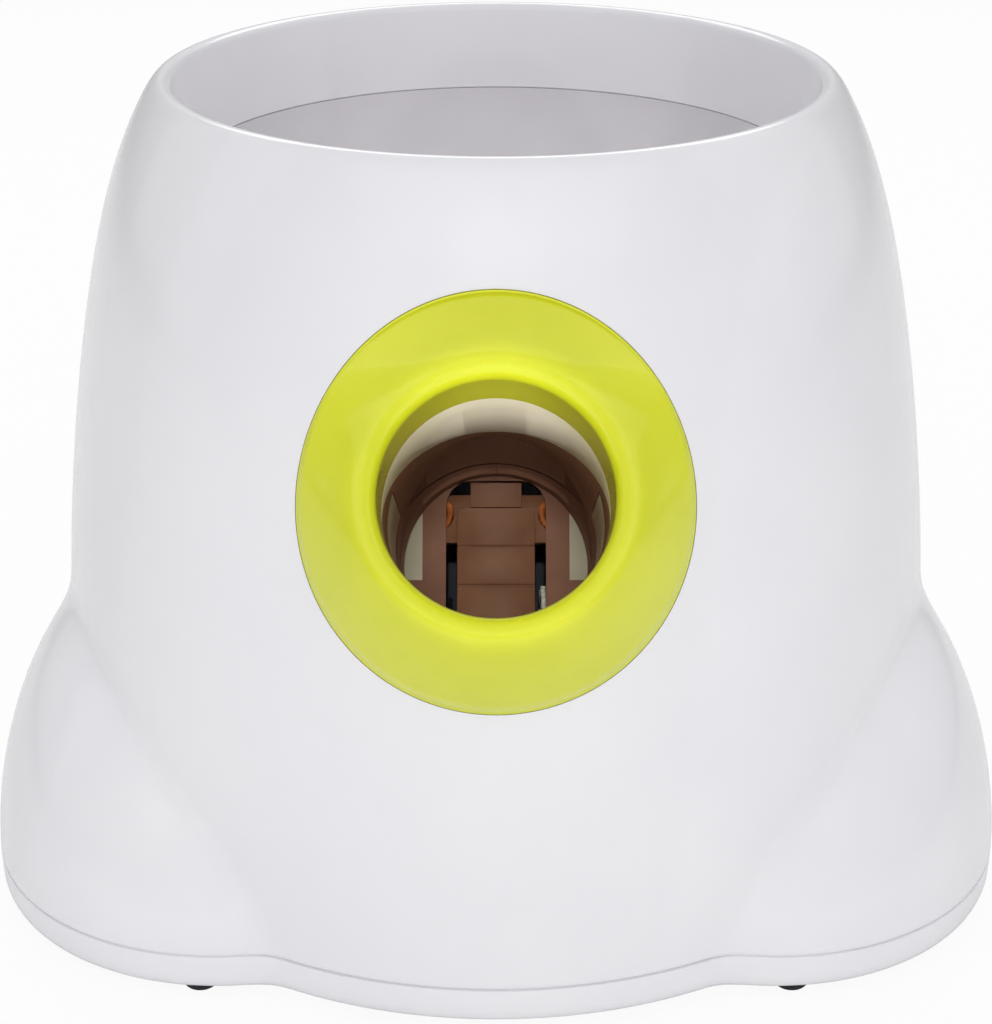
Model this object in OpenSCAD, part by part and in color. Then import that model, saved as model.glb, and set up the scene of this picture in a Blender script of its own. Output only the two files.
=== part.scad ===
// Automatic ball launcher for dogs: a round hopper on a three-lobed body, with a
// spring-driven striker that shoots a mini tennis ball out of an inclined tube.
// The barrel's axis is vertical, the muzzle faces -Y and the feet stand on z = 0.
// Lengths are in millimetres and angles in degrees.

/* [Body] */
// Height over the rim of the hopper, feet included
body_h = 225; // [223:1:232]
// Radius of the hopper's rim at its highest line
crest_r = 90; // [88:0.5:92]
// Rounding of the hopper's rim
crest_round = 2.5; // [2:0.25:3]
// Radius of the barrel at its widest, low down
barrel_r = 126.5; // [125:0.5:129]
// Height at which the barrel is widest
barrel_low_z = 30; // [26:1:34]
// How far the barrel draws in over its whole height
barrel_taper = 26.5; // [24:0.5:28]
// How much further it draws in at the shoulder under the rim
shoulder_draw = 8; // [6:0.5:9]
// Wall of the shell
shell_wall = 2.6; // [2:0.1:3]
// Distance of each lobe's centre from the barrel's axis, at the seam
lobe_reach = 86.8; // [85:0.2:88]
// Radius of each lobe in plan, at the seam
lobe_r = 68.2; // [67:0.2:70]
// Height of each lobe's dome
lobe_h = 95.2; // [92:0.4:100]
// How late the dome starts to draw in above the seam, as a power of its height
lobe_power = 1.77; // [1.6:0.01:1.9]
// Roundness of the dome's top, as a root
lobe_root = 1.45; // [1.3:0.05:1.6]
// How far the dome's centre moves out between the seam and its top
lobe_draw = 14.4; // [12:0.4:17]
// Degrees that the two front lobes lean back between the seam and their top
lobe_lean = 17.2; // [14:0.4:20]
// Width of the soft crease where a lobe runs into the barrel
crease_w = 7; // [5:0.5:9]

/* [Tray and feet] */
// Height of the feet below the tray
foot_h = 4; // [3:0.5:4]
// Height of the seam between tray and shell
seam_z = 15; // [14:0.5:16]
// Width of the seam
seam_gap = 0.6; // [0.4:0.1:0.8]
// Thickness of the tray's floor
floor_t = 2.6; // [2:0.1:3]
// Radius of each rubber foot
foot_r = 4.7; // [4:0.1:5.5]
// Distance of the feet from the barrel's axis
foot_reach = 129.4; // [128:0.2:131]
// Angle of the feet off their lobe's centre line
foot_angle = 22; // [20:1:24]

/* [Muzzle and launch tube] */
// Angle of the launch tube above the horizon
launch_angle = 32; // [31:0.5:33]
// Height of the tube's axis where it meets the barrel's face
muzzle_z = 151.2; // [150:0.2:153]
// Distance from the barrel's axis to that point
muzzle_y = 118; // [117:0.5:119]
// Radius of the launch tube's bore
bore_r = 28.4; // [28:0.1:28.8]
// Wall of the launch tube
tube_wall = 2.6; // [2.4:0.1:3]
// Depth of the tube's front edge behind the muzzle
tube_front = 28.3; // [27:0.1:30]
// Depth of the breech wall's face behind the muzzle
breech_s = 162; // [160:0.5:163]
// Thickness of the breech wall
breech_t = 3; // [2.5:0.1:3]
// Half width of the striker's slot in the breech wall
slot_half_w = 15.5; // [15:0.1:15.8]
// Outer radius of the muzzle ring
ring_r = 48.3; // [47:0.1:49]
// How far the ring's outline lies below the tube's axis
ring_drop = 2; // [1:0.25:3]
// Thickness of the ring's flare
ring_t = 2.6; // [2:0.1:3]
// Rounding of the ring's lip
lip_round = 5; // [4:0.5:6]
// Height at which the tube's hood meets its lower halves
hood_z = 133.4; // [132:0.2:135]
// Length of each sensor window
window_len = 46; // [30:1:48]
// Height of each sensor window
window_h = 18; // [14:0.5:19]
// Depth of the sensor windows' front edge
window_s = 58; // [56:1:62]

/* [Hopper] */
// Depth of the hopper's seam below the rim
skirt_h = 25; // [23:0.5:27]
// Radius of the hopper at that seam
bowl_r = 83.3; // [82:0.1:84]
// Radius of the throat that the balls drop through
throat_r = 29; // [28.6:0.1:29.4]
// Height of the throat's upper edge
throat_z = 138; // [136:0.5:140]
// Wall of the hopper bowl
bowl_wall = 2.2; // [1.8:0.1:2.6]

/* [Striker] */
// Stroke of the striker
stroke = 30; // [26:0.5:30]
// Width of the striker's face
face_w = 24; // [22:0.5:25]
// Height of the striker's face
face_h = 36; // [32:0.5:38]
// Thickness of the face
face_t = 4; // [3:0.25:4]
// Length of the carriage behind the breech wall
carriage_len = 44; // [42:0.5:46]
// Width of the carriage
carriage_w = 18; // [16:0.5:19]
// Radius of the guide rods
rod_r = 2; // [1.8:0.05:2.2]
// Distance of each rod from the middle
rod_x = 18.5; // [18.2:0.1:19]
// Height of the rods above the tube's axis
rod_v = 17; // [16.5:0.25:18]
// Thickness of the carriage's ears
ear_t = 6; // [5:0.25:7]
// Depth of the bracket that carries the rods' rear ends
bracket_s = 230; // [229:0.5:233]
// Thickness of that bracket
bracket_t = 4; // [3:0.25:5]
// Radius of the springs' coil, to the middle of the wire
coil_r = 4.4; // [4.2:0.1:4.5]
// Radius of the spring wire
wire_r = 0.6; // [0.5:0.05:0.7]
// Turns of each spring
coil_turns = 11; // [9:1:12]

/* [Gears] */
// Gear module, the pitch diameter over the number of teeth
gear_m = 1; // [0.95:0.01:1]
// Teeth on a full circle of the sector gear
sector_teeth = 24; // [23:1:24]
// Teeth of the large gears
wheel_teeth = 36; // [34:1:36]
// Teeth of the pinions
pinion_teeth = 12; // [12:1:13]
// Width of the gears
gear_w = 4; // [3.5:0.1:4.2]
// Width of the sector gear
sector_w = 8; // [6:0.5:9]
// Radius of the gear shafts
shaft_r = 2; // [1.8:0.05:2.2]
// Depth of the sector gear's shaft along the tube's axis
drive_s = 200; // [199:0.5:202]
// Radius of the motor
motor_r = 12.2; // [11.5:0.1:12.5]
// Length of the motor
motor_len = 30.8; // [28:0.2:31]
// Radius of the motor's shaft
motor_shaft_r = 1; // [0.9:0.05:1.2]
// Thickness of the plates that carry the gears
plate_t = 2.5; // [2:0.1:2.5]

/* [Battery] */
// Radius of each cell
cell_r = 13.1; // [12.9:0.1:13.2]
// Length of each cell
cell_len = 50; // [49:0.5:50]
// Wall of the battery box
box_wall = 2; // [1.5:0.1:2.5]
// Distance of the door's hinge behind the barrel's face
hinge_inset = 18.1; // [17:0.1:20]
// Thickness of the battery door
door_t = 2.4; // [2:0.1:2.6]
// Radius of the door's hinge pins
door_pin_r = 1; // [0.9:0.05:1.1]

/* [Controls] */
// Height of the control panel's middle
panel_z = 140; // [138:0.5:142]
// Width of the control panel
panel_w = 60; // [56:1:64]
// Height of the control panel
panel_h = 26; // [24:0.5:28]
// Radius of the two buttons
button_r = 5.5; // [5:0.1:6]
// Distance of each button from the middle
button_x = 12; // [11:0.5:14]
// Travel of the buttons
button_travel = 1.2; // [1:0.1:1.2]
// Radius of the indicator lenses
lens_r = 1.2; // [1:0.1:1.5]
// Height of the power inlet
jack_z = 34; // [30:1:38]
// Radius of the power inlet's body
jack_r = 5.5; // [5:0.1:6]
// Radius of the plug's hole in the power inlet
jack_bore_r = 2.8; // [2.6:0.05:3]
// Width of the circuit board
board_w = 56; // [50:1:58]

/* [Fasteners] */
// Radius of the screws
screw_r = 1.5; // [1.3:0.05:1.6]
// Radius of the screws' heads
head_r = 2.8; // [2.5:0.1:3]
// Radius of the shell's screw bosses
boss_r = 4; // [3.6:0.1:4.5]

/* [Hidden] */
$fn = 48;
// Clearances: still seams, running shafts, pressed seats, and sliding pieces
fit_gap = 0.3;
run_gap = 0.06;
press_gap = 0.02;
slide_gap = 0.08;
half_gap = 0.05;

// Barrel and lobes
front_angle = 270;
lobe_angles = [front_angle - 60, front_angle + 60, front_angle + 180];
taper_h = body_h - barrel_low_z;
function barrel(z) =
    let (t = max(0, (z - barrel_low_z) / taper_h), low = max(0, barrel_low_z - z))
    barrel_r - barrel_taper * t * t - shoulder_draw * pow(t, 10) - 0.002 * low * low;
function dome_rise(z) = pow(min(1, max(0, z - seam_z) / (lobe_h - seam_z)), lobe_power);
function dome_r(z) = lobe_r * pow(1 - dome_rise(z), 1 / lobe_root);
function lobe(z, off) =
    let (r = dome_r(z), c = lobe_reach + lobe_draw * dome_rise(z), d = r * r - pow(c * sin(off), 2))
    c * cos(off) + (d > 0 ? sqrt(d) : -sqrt(-d));
function soft_max(a, b, k) = let (h = max(0, k - abs(a - b)) / k) max(a, b) + h * h * h * k / 6;
function turned(a) = abs((a % 360 + 540) % 360 - 180);
function lobe_dist(angle, z) =
    let (lean = 60 + lobe_lean * dome_rise(z))
    min([for (l = [-lean, lean, 180]) turned(angle - front_angle - l)]);
function body_r(angle, z) =
    let (off = lobe_dist(angle, z))
    z >= lobe_h || off >= 60 ? barrel(z) : soft_max(barrel(z), lobe(z, off), crease_w);

// Launch axis: s is the depth behind the muzzle and v the height square to the axis
tube_r = bore_r + tube_wall;
function axis_pt(s, v = 0) = [
    -muzzle_y + cos(launch_angle) * s + sin(launch_angle) * v,
    muzzle_z - sin(launch_angle) * s + cos(launch_angle) * v];

throat_low = muzzle_z - muzzle_y * tan(launch_angle);
throat_lap = 8;
hood_back = 32;

// Shell
skirt_z = body_h - skirt_h;
shell_low = seam_z + seam_gap / 2;
tray_top = seam_z - seam_gap / 2;
floor_top = foot_h + floor_t;
stand_z = floor_top + fit_gap;
shell_steps = 80;
skirt_top_r = crest_r - crest_round;

// Striker, in depth s and height v
face_s = breech_s - face_t;
wall_back = breech_s + breech_t;
ear_s = wall_back + 0.5;
ear_back = ear_s + ear_t;
carriage_end = breech_s + carriage_len;
carriage_low = -8;
rack_v = carriage_low - 1.1 * gear_m;
block_w = 15.8;
block_top = 26;
spring_front = ear_back + fit_gap;
spring_len = bracket_s - fit_gap - spring_front;

// Gear train: places in the YZ plane
sector_pitch_r = gear_m * sector_teeth / 2;
wheel_pitch_r = gear_m * wheel_teeth / 2;
pinion_pitch_r = gear_m * pinion_teeth / 2;
gear_gap = wheel_pitch_r + pinion_pitch_r;
idler_angle = 0;
motor_angle = -3;
drive_at = axis_pt(drive_s, rack_v - sector_pitch_r);
idler_at = drive_at + gear_gap * [cos(idler_angle), sin(idler_angle)];
motor_at = idler_at + gear_gap * [cos(motor_angle), sin(motor_angle)];
inner_plate_x = 11.5;
first_x = inner_plate_x + plate_t + 0.6;
second_x = first_x + gear_w + 1.5;
outer_plate_x = second_x + gear_w + 1.6;
left_plate_x = -inner_plate_x - plate_t;
cam_w = 3;
cam_r = 6;

// Battery
cell_pitch = 2 * cell_r + 1.2;
box_in = [3 * cell_pitch, 2 * cell_pitch];
box_out = [box_in[0] + 2 * box_wall, box_in[1] + 2 * box_wall];
hinge_y = hinge_inset - barrel_r;
hinge_lead = 3.6;
box_y = hinge_y + hinge_lead + box_out[1] / 2;
cell_z = floor_top + fit_gap + 0.6;
cell_top = cell_z + cell_len;
contact_t = 0.5;
box_roof = cell_top + contact_t + 0.6;
door_w = box_in[0] + 0.4;
hinge_z = foot_h + 1.6;
door_rear = box_y + box_in[1] / 2;
door_pin_len = 3;
knuckle_r = door_t / 2 + 0.2;

// Controls
panel_r = barrel(panel_z);
flange_in = 5;
board_t = 1.6;
board_y = panel_r - 20;
board_h = 26;
post_x = 22;
switch_h = 3.5;
button_proud = 1.2;
button_z = panel_z - 2;
wall_reach = 60;

boss_angles = [front_angle - 15, front_angle + 15, front_angle - 120, front_angle + 120];
boss_reach = barrel_r - shell_wall - boss_r + 0.6;
boss_top = 40;

white = "#f1f1f3";
lime = "#d9e23a";
smoke = "#5f463c";
dark = "#3a3c40";
steel = "#b9bcc0";
copper = "#c46a35";
cream = "#e6e1d0";

// ---------- Helpers ----------

// Moves a piece drawn about the barrel's axis to its place over the origin
module on_body() { translate([0, axis_y, 0]) children(); }

// Draws with +Z out of the muzzle, +Y square to the tube and z = -s along it
module on_axis(s = 0) {
    at = axis_pt(s);
    translate([0, at[0], at[1]]) rotate([90 - launch_angle, 0, 0]) children();
}

// A cylinder along +X through a place in the YZ plane
module along_x(at, x, r, len) {
    translate([x, at[0], at[1]]) rotate([0, 90, 0]) cylinder(r = r, h = len);
}

// A cylinder along +Y
module along_y(x, y, z, r, len) {
    translate([x, y, z]) rotate([-90, 0, 0]) cylinder(r = r, h = len);
}

// Draws a flat outline of the YZ plane with a thickness along +X
module in_plane(x, w) { translate([x, 0, 0]) rotate([90, 0, 90]) linear_extrude(w) children(); }

// A box given by its middle in depth and height and by its sizes
module axis_box(x, v, s, size) {
    translate([x, v, -s]) cube(size, center = true);
}

// A closed skin from rings of points that form a closed loop about the axis
module torus_skin(rings) {
    n = len(rings);
    m = len(rings[0]);
    points = [for (ring = rings) each ring];
    faces = [for (i = [0 : n - 1], j = [0 : m - 1])
        let (a = i * m + j, b = i * m + (j + 1) % m,
             c = ((i + 1) % n) * m + j, d = ((i + 1) % n) * m + (j + 1) % m)
        each [[a, b, c], [b, d, c]]];
    polyhedron(points = points, faces = faces);
}

// ---------- Shell, tray and feet ----------

outer_levels = [shell_low, 22, barrel_low_z, 42, 54, 64, 72, 79, 85, 90, 95, 101,
    112, 130, 150, 170, 186, 199, 209, 217];
inner_levels = [215, 205, 190, 165, 130, 104, 94, 87, 79, 69, 57, 44, barrel_low_z, 21, shell_low];
crest_turns = [20, 60, 90, 120, 160];

// One ring of the shell's skin: the outer wall, the rim, the skirt and the inner wall
function shell_section(angle) =
    let (mid_r = crest_r, mid_z = body_h - crest_round)
    concat(
        [for (z = outer_levels) [body_r(angle, z), z]],
        [for (t = crest_turns) [mid_r + crest_round * cos(t), mid_z + crest_round * sin(t)]],
        [[bowl_r + 0.3, skirt_z], [bowl_r + 0.3 + shell_wall, skirt_z],
         [skirt_top_r + shell_wall - 0.4, body_h - 8]],
        [for (z = inner_levels) [body_r(angle, z) - shell_wall, z]]);

module shell_skin() {
    torus_skin([for (i = [0 : shell_steps - 1])
        let (angle = i * 360 / shell_steps + front_angle)
        [for (p = shell_section(angle)) [p[0] * cos(angle), p[0] * sin(angle), p[1]]]]);
}

module upper_shell() {
    color(white) on_body() difference() {
        union() {
            shell_skin();
            for (a = boss_angles) translate([boss_reach * cos(a), boss_reach * sin(a), stand_z])
                cylinder(r = boss_r, h = boss_top - stand_z);
        }
        on_axis() translate([0, -ring_drop, -60]) cylinder(r = ring_r + fit_gap, h = 100);
        for (a = boss_angles) translate([boss_reach * cos(a), boss_reach * sin(a), stand_z - 1])
            cylinder(r = screw_r + slide_gap, h = 22);
        behind(fit_gap);
        along_y(0, lobe_reach + lobe_r - 20, jack_z, jack_r + fit_gap, 40);
    }
}

// The body's outline at a height, drawn in by an inset
function outline(z, inset, steps = shell_steps) = [for (i = [0 : steps - 1])
    let (a = i * 360 / steps + front_angle, r = body_r(a, z) - inset) [r * cos(a), r * sin(a)]];

module tray_layer(low, high, inset, wall = 0) {
    translate([0, 0, low]) linear_extrude(high - low) difference() {
        polygon(outline(tray_top, inset));
        if (wall > 0) polygon(outline(tray_top, inset + wall));
    }
}

// Where the feet stand, two to a lobe
foot_places = [for (l = lobe_angles, side = [-1, 1])
    foot_reach * [cos(l + side * foot_angle), sin(l + side * foot_angle)]];

module base_tray() {
    color(white) on_body() difference() {
        union() {
            tray_layer(foot_h, foot_h + 1.2, 3.2);
            tray_layer(foot_h + 1.2, floor_top, 1.8);
            tray_layer(floor_top, floor_top + 2.4, 0.8, shell_wall + 1);
            tray_layer(floor_top + 2.4, tray_top, 0, shell_wall + 1.8);
            tray_layer(tray_top, shell_low + 2.5, shell_wall + 0.4, 1.4);
            for (side = [-1, 1]) translate([side * (door_w / 2 + door_pin_len / 2 + 1.2), hinge_y, floor_top])
                translate([-2.2, -3, 0]) cube([4.4, 6, 2.2]);
        }
        for (p = foot_places) translate([p[0], p[1], foot_h - 1])
            cylinder(r = foot_r / 2 + slide_gap, h = floor_t + 2);
        for (a = boss_angles) translate([boss_reach * cos(a), boss_reach * sin(a), foot_h - 1]) {
            cylinder(r = screw_r + fit_gap, h = floor_t + 2);
            cylinder(r = head_r + fit_gap, h = 2.6);
            translate([0, 0, floor_t + 1]) cylinder(r = boss_r + fit_gap, h = 20);
        }
        translate([-door_w / 2 - fit_gap, hinge_y - knuckle_r - fit_gap, foot_h - 1])
            cube([door_w + 2 * fit_gap, door_rear - hinge_y + knuckle_r + 2 * fit_gap, floor_t + 2]);
        along_x([hinge_y, hinge_z], -door_w / 2 - door_pin_len - run_gap, door_pin_r + run_gap,
            door_w + 2 * door_pin_len + 2 * run_gap);
    }
}

module foot(place) {
    color("#1b1b1d") on_body() translate([place[0], place[1], 0]) {
        cylinder(r = foot_r, h = foot_h);
        translate([0, 0, foot_h]) cylinder(r = foot_r / 2, h = floor_t + 0.2);
        translate([0, 0, floor_top + 0.2]) cylinder(r = foot_r / 2 + 0.8, h = 1);
    }
}

module case_screws() {
    color(steel) on_body() for (a = boss_angles)
        translate([boss_reach * cos(a), boss_reach * sin(a), foot_h + 0.1]) {
            cylinder(r = head_r, h = 1.4);
            cylinder(r = screw_r, h = 18);
        }
}

// ---------- Muzzle ring ----------

// Depth at which a line along the tube meets the barrel's face
function face_depth(x, v, s = 0, left = 10) =
    left == 0 ? s : let (z = axis_pt(s, v)[1],
        next = (muzzle_y - sqrt(pow(barrel(z), 2) - x * x) - sin(launch_angle) * v) / cos(launch_angle))
    face_depth(x, v, next, left - 1);

ring_steps = 60;
lip_turns = [0, 30, 60, 85];

// The origin is under the middle of the bounding box, from the ring's lip to the rear lobe
lip_front = min([for (p = ring_section(front_angle)) axis_pt(p[1], -p[0])[0]]);
lobe_rear = body_r(front_angle + 180, tray_top);
axis_y = -(lip_front + lobe_rear) / 2;

// One section of the ring, from the throat over the lip to the edge and back behind
function ring_section(angle) =
    let (edge = [ring_r * cos(angle), ring_r * sin(angle) - ring_drop],
         edge_r = norm(edge),
         edge_s = face_depth(edge[0], edge[1]) - 0.6,
         crown_r = bore_r + lip_round,
         flare = [for (t = [0.25, 0.5, 0.75]) [
             crown_r + (edge_r - crown_r) * t,
             -lip_round * (1 - t) * 0.2 + edge_s * pow(t, 1.35)]])
    concat(
        [[bore_r, tube_front - fit_gap], [bore_r, 12]],
        [for (t = lip_turns) [bore_r + lip_round * (1 - cos(t)), 4 - lip_round * sin(t)]],
        flare,
        [[edge_r - 0.4, edge_s], [edge_r, edge_s + 0.8], [edge_r, edge_s + ring_t + 1.4],
         [edge_r - 1.6, edge_s + ring_t + 1.4]],
        [for (i = [2, 1, 0]) [flare[i][0] - 0.4, flare[i][1] + ring_t + 0.6]],
        [[bore_r + tube_wall, 6], [bore_r + tube_wall, tube_front - fit_gap]]);

module muzzle_ring() {
    color(lime) on_body() on_axis() torus_skin([for (i = [0 : ring_steps - 1])
        let (a = i * 360 / ring_steps,
             way = [ring_r * cos(a), ring_r * sin(a) - ring_drop], u = way / norm(way))
        [for (p = ring_section(a)) [p[0] * u[0], p[0] * u[1], -p[1]]]]);
}

// ---------- Hopper ----------

bowl_turns = [0, 12, 24, 36, 48, 60, 72, 84, 90];
function bowl_curve(t) =
    let (c = pow(cos(t), 1.25), s = pow(sin(t), 1.25))
    [throat_r + (bowl_r - throat_r) * c, skirt_z - fit_gap - (skirt_z - fit_gap - throat_z) * s];

module bowl_profile() {
    inner = [for (t = bowl_turns) bowl_curve(t)];
    outer = [for (i = [len(inner) - 1 : -1 : 0])
        let (a = inner[max(0, i - 1)], b = inner[min(len(inner) - 1, i + 1)],
             d = (b - a) / norm(b - a))
        inner[i] + bowl_wall * [-d[1], d[0]]];
    polygon(concat(
        [[throat_r, 80]], [for (i = [len(inner) - 1 : -1 : 0]) inner[i]],
        [[bowl_r + 4, skirt_z - fit_gap], [bowl_r + 4, skirt_z - fit_gap - bowl_wall]],
        [for (i = [len(outer) - 1 : -1 : 0]) if (i < len(outer) - 1 && i > 0) outer[i]],
        [[throat_r + bowl_wall, throat_z - bowl_wall], [throat_r + bowl_wall, 80]]));
}

module hopper_half(side) {
    color(white) on_body() difference() {
        rotate([0, 0, side > 0 ? -90 : 90]) rotate_extrude(angle = 180) bowl_profile();
        translate([side > 0 ? -barrel_r : -half_gap, -barrel_r, 0])
            cube([barrel_r + half_gap, 2 * barrel_r, body_h]);
        on_axis(breech_s + barrel_r / 3) cylinder(r = tube_r + fit_gap, h = breech_s + barrel_r / 3);
        on_axis() translate([-2 * tube_r, -3 * tube_r + throat_lap, -2 * barrel_r])
            cube([4 * tube_r, 3 * tube_r, 2 * barrel_r]);
    }
}

// ---------- Launch tube ----------

module tube_body() {
    difference() {
        union() {
            on_axis(wall_back) cylinder(r = tube_r, h = wall_back - tube_front);
            for (s = lug_places) on_axis() axis_box(0, -tube_r - 4, s, [8, 14, 16]);
        }
        on_axis(breech_s) cylinder(r = bore_r, h = breech_s);
        translate([0, 0, throat_low]) cylinder(r = throat_r, h = 200);
        breech_slot();
        for (x = [-rod_x, rod_x]) on_axis(wall_back + 1) translate([x, rod_v, 0])
            cylinder(r = rod_r + press_gap, h = breech_t + 2);
        for (s = lug_places) on_axis() translate([-20, -tube_r - 7, -s]) rotate([0, 90, 0])
            cylinder(r = screw_r + slide_gap, h = 40);
        for (side = [-1, 1]) on_axis() axis_box(side * tube_r, 0, window_s + window_len / 2,
            [tube_r, window_h, window_len]);
    }
}

lug_places = [50, 150];
cradle_w = 48;
cradle_t = 8;
cradle_y = -30;
cradle_h = 58;

module breech_slot() {
    on_axis(wall_back + 1) linear_extrude(breech_t + 2) {
        square_low = -face_h / 2 - 4;
        corner = 8;
        translate([-slot_half_w, square_low]) square([2 * slot_half_w, rod_v + 2 - square_low]);
        translate([-slot_half_w + corner, 0]) square([2 * (slot_half_w - corner), block_top + 1]);
        for (x = [-1, 1]) translate([x * (slot_half_w - corner), block_top + 1 - corner]) circle(r = corner);
    }
}

module tube_half(side) {
    color(smoke) on_body() intersection() {
        tube_body();
        translate([side > 0 ? half_gap : -half_gap - 2 * tube_r, -muzzle_y - tube_r, 0])
            cube([2 * tube_r, 3 * muzzle_y, hood_z]);
    }
}

module tube_hood() {
    color("#b9b2aa") on_body() intersection() {
        difference() {
            on_axis(wall_back) cylinder(r = tube_r, h = wall_back - tube_front);
            on_axis(wall_back + 1) cylinder(r = bore_r, h = wall_back + 1);
        }
        translate([-2 * tube_r, -muzzle_y - tube_r, hood_z + fit_gap])
            cube([4 * tube_r, muzzle_y + tube_r - hood_back, 2 * tube_r]);
    }
}

module ir_window(side) {
    color("#8f958a", 0.7) on_body() intersection() {
        difference() {
            on_axis(wall_back) cylinder(r = tube_r, h = wall_back - tube_front);
            on_axis(wall_back + 1) cylinder(r = bore_r, h = wall_back + 1);
        }
        on_axis() axis_box(side * tube_r, 0, window_s + window_len / 2,
            [tube_r - fit_gap, window_h - 2 * fit_gap, window_len - 2 * fit_gap]);
    }
}

// A sensor behind its window: a small board with a round eye
module ir_sensor(side) {
    color(dark) on_body() on_axis() translate([side * (tube_r + fit_gap), 0, -window_s - window_len / 2])
        rotate([0, side * 90, 0]) {
            cylinder(r = 2.5, h = 5);
            translate([-5, -8, 5]) cube([10, 16, 1.6]);
        }
}

module tube_cradle() {
    color(dark) on_body() difference() {
        translate([-cradle_w / 2, cradle_y, stand_z]) cube([cradle_w, cradle_t, cradle_h]);
        on_axis(wall_back) cylinder(r = tube_r + fit_gap, h = wall_back);
        translate([-cradle_w / 2 + 10, cradle_y - 1, stand_z + cradle_t])
            cube([cradle_w - 20, cradle_t + 2, 22]);
    }
}

module tube_screws() {
    color(steel) on_body() for (s = lug_places) on_axis() translate([-7, -tube_r - 7, -s])
        rotate([0, 90, 0]) {
            cylinder(r = head_r, h = 2.8);
            cylinder(r = screw_r, h = 12);
        }
}

// ---------- Striker ----------

module striker_face() {
    color("#6d5246") on_body() on_axis(breech_s) difference() {
        translate([0, 0, 0.05]) linear_extrude(face_t) {
            translate([-face_w / 2, -face_h / 2 + 2]) square([face_w, face_h - 4]);
            translate([-face_w / 2 + 2, -face_h / 2]) square([face_w - 4, face_h]);
            for (x = [-1, 1], y = [-1, 1])
                translate([x * (face_w / 2 - 2), y * (face_h / 2 - 2)]) circle(r = 2);
        }
        for (y = [-face_h / 6, face_h / 6]) translate([-face_w, y - 0.3, face_t - 0.5])
            cube([2 * face_w, 0.6, 1]);
    }
}

module striker_carriage() {
    rack_len = carriage_end - ear_back - 1;
    color("#5a443a") on_body() difference() {
        union() {
            on_axis(carriage_end) translate([-carriage_w / 2, carriage_low, 0])
                cube([carriage_w, 2 * -carriage_low, carriage_len]);
            on_axis(wall_back) translate([-face_w / 2 + 1, -face_h / 2 + 1, 0])
                cube([face_w - 2, face_h - 2, breech_t]);
            on_axis(ear_back) translate([-rod_x - 5, -carriage_low, 0])
                cube([2 * rod_x + 10, rod_v + 6 + carriage_low, ear_t]);
            on_axis(ear_s) translate([-block_w / 2, face_h / 2 + 0.3, -1])
                cube([block_w, block_top - face_h / 2 - 0.3, ear_s - face_s]);
            for (x = [-rod_x, rod_x]) on_axis(ear_back + 8) translate([x, rod_v, 0])
                cylinder(r = rod_r + 0.9, h = 9);
            rack();
        }
        for (x = [-rod_x, rod_x]) on_axis(ear_back + 20) translate([x, rod_v, 0])
            cylinder(r = rod_r + slide_gap, h = 40);
    }
}

// The rack's teeth point down, with a gap over the sector gear's shaft at rest
module rack() {
    pitch = PI * gear_m;
    first = ceil((ear_back + 2 - drive_s) / pitch - 0.5);
    last = floor((carriage_end - 2 - drive_s) / pitch - 0.5);
    half_tip = pitch / 4 - 0.8 * gear_m * tan(pressure_angle) - tooth_play;
    half_root = pitch / 4 + 1.1 * gear_m * tan(pressure_angle) - tooth_play;
    for (i = [first : last]) on_axis(drive_s + (i + 0.5) * pitch) translate([-sector_w / 2 - 1, 0, 0])
        rotate([90, 0, 90]) linear_extrude(sector_w + 2) polygon([
            [carriage_low + 0.2, -half_root], [carriage_low + 0.2, half_root],
            [rack_v - 0.8 * gear_m, half_tip], [rack_v - 0.8 * gear_m, -half_tip]]);
}

module guide_rods() {
    color(steel) on_body() for (x = [-rod_x, rod_x]) on_axis(bracket_s + bracket_t)
        translate([x, rod_v, 0]) cylinder(r = rod_r, h = bracket_s + bracket_t - breech_s - 0.3);
}

coil_rings = coil_turns * 8;
coil_sides = 6;
echo(coil_gap = spring_len / coil_turns - 2 * wire_r);

// One unbroken spring wire, as a tube swept along a helix
module coil_spring(x) {
    rise = spring_len - 2 * wire_r;
    rings = [for (i = [0 : coil_rings])
        let (a = i * 360 * coil_turns / coil_rings, z = wire_r + rise * i / coil_rings)
        [for (j = [0 : coil_sides - 1])
            let (b = j * 360 / coil_sides, r = coil_r + wire_r * cos(b))
            [r * cos(a), r * sin(a), z + wire_r * sin(b)]]];
    m = coil_sides;
    ends = [[for (j = [0 : m - 1]) j], [for (j = [m - 1 : -1 : 0]) coil_rings * m + j]];
    sides = [for (i = [0 : coil_rings - 1], j = [0 : m - 1])
        let (a = i * m + j, b = i * m + (j + 1) % m)
        each [[a, a + m, b], [b, a + m, b + m]]];
    fans = [for (e = ends, k = [1 : m - 2]) [e[0], e[k], e[k + 1]]];
    color(copper) on_body() on_axis(spring_front + spring_len) translate([x, rod_v, 0])
        polyhedron(points = [for (ring = rings) each ring], faces = concat(sides, fans));
}

module spring_bracket() {
    foot = axis_pt(bracket_s + bracket_t / 2, rod_v - 7);
    color(dark) on_body() difference() {
        union() {
            on_axis(bracket_s + bracket_t) translate([-rod_x - 5, rod_v - 7, 0])
                cube([2 * rod_x + 10, 13, bracket_t]);
            for (side = [-1, 1]) translate([side * 16 - 2.5, foot[0] - 2, stand_z])
                cube([5, 5, foot[1] - stand_z + 3]);
            for (side = [-1, 1]) translate([side * 16 - 2.5, foot[0] - 2, stand_z])
                cube([5, 12, 2.4]);
        }
        for (x = [-rod_x, rod_x]) on_axis(bracket_s + bracket_t + 1) translate([x, rod_v, 0])
            cylinder(r = rod_r + press_gap, h = bracket_t + 2);
    }
}

// ---------- Gears ----------

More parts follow.
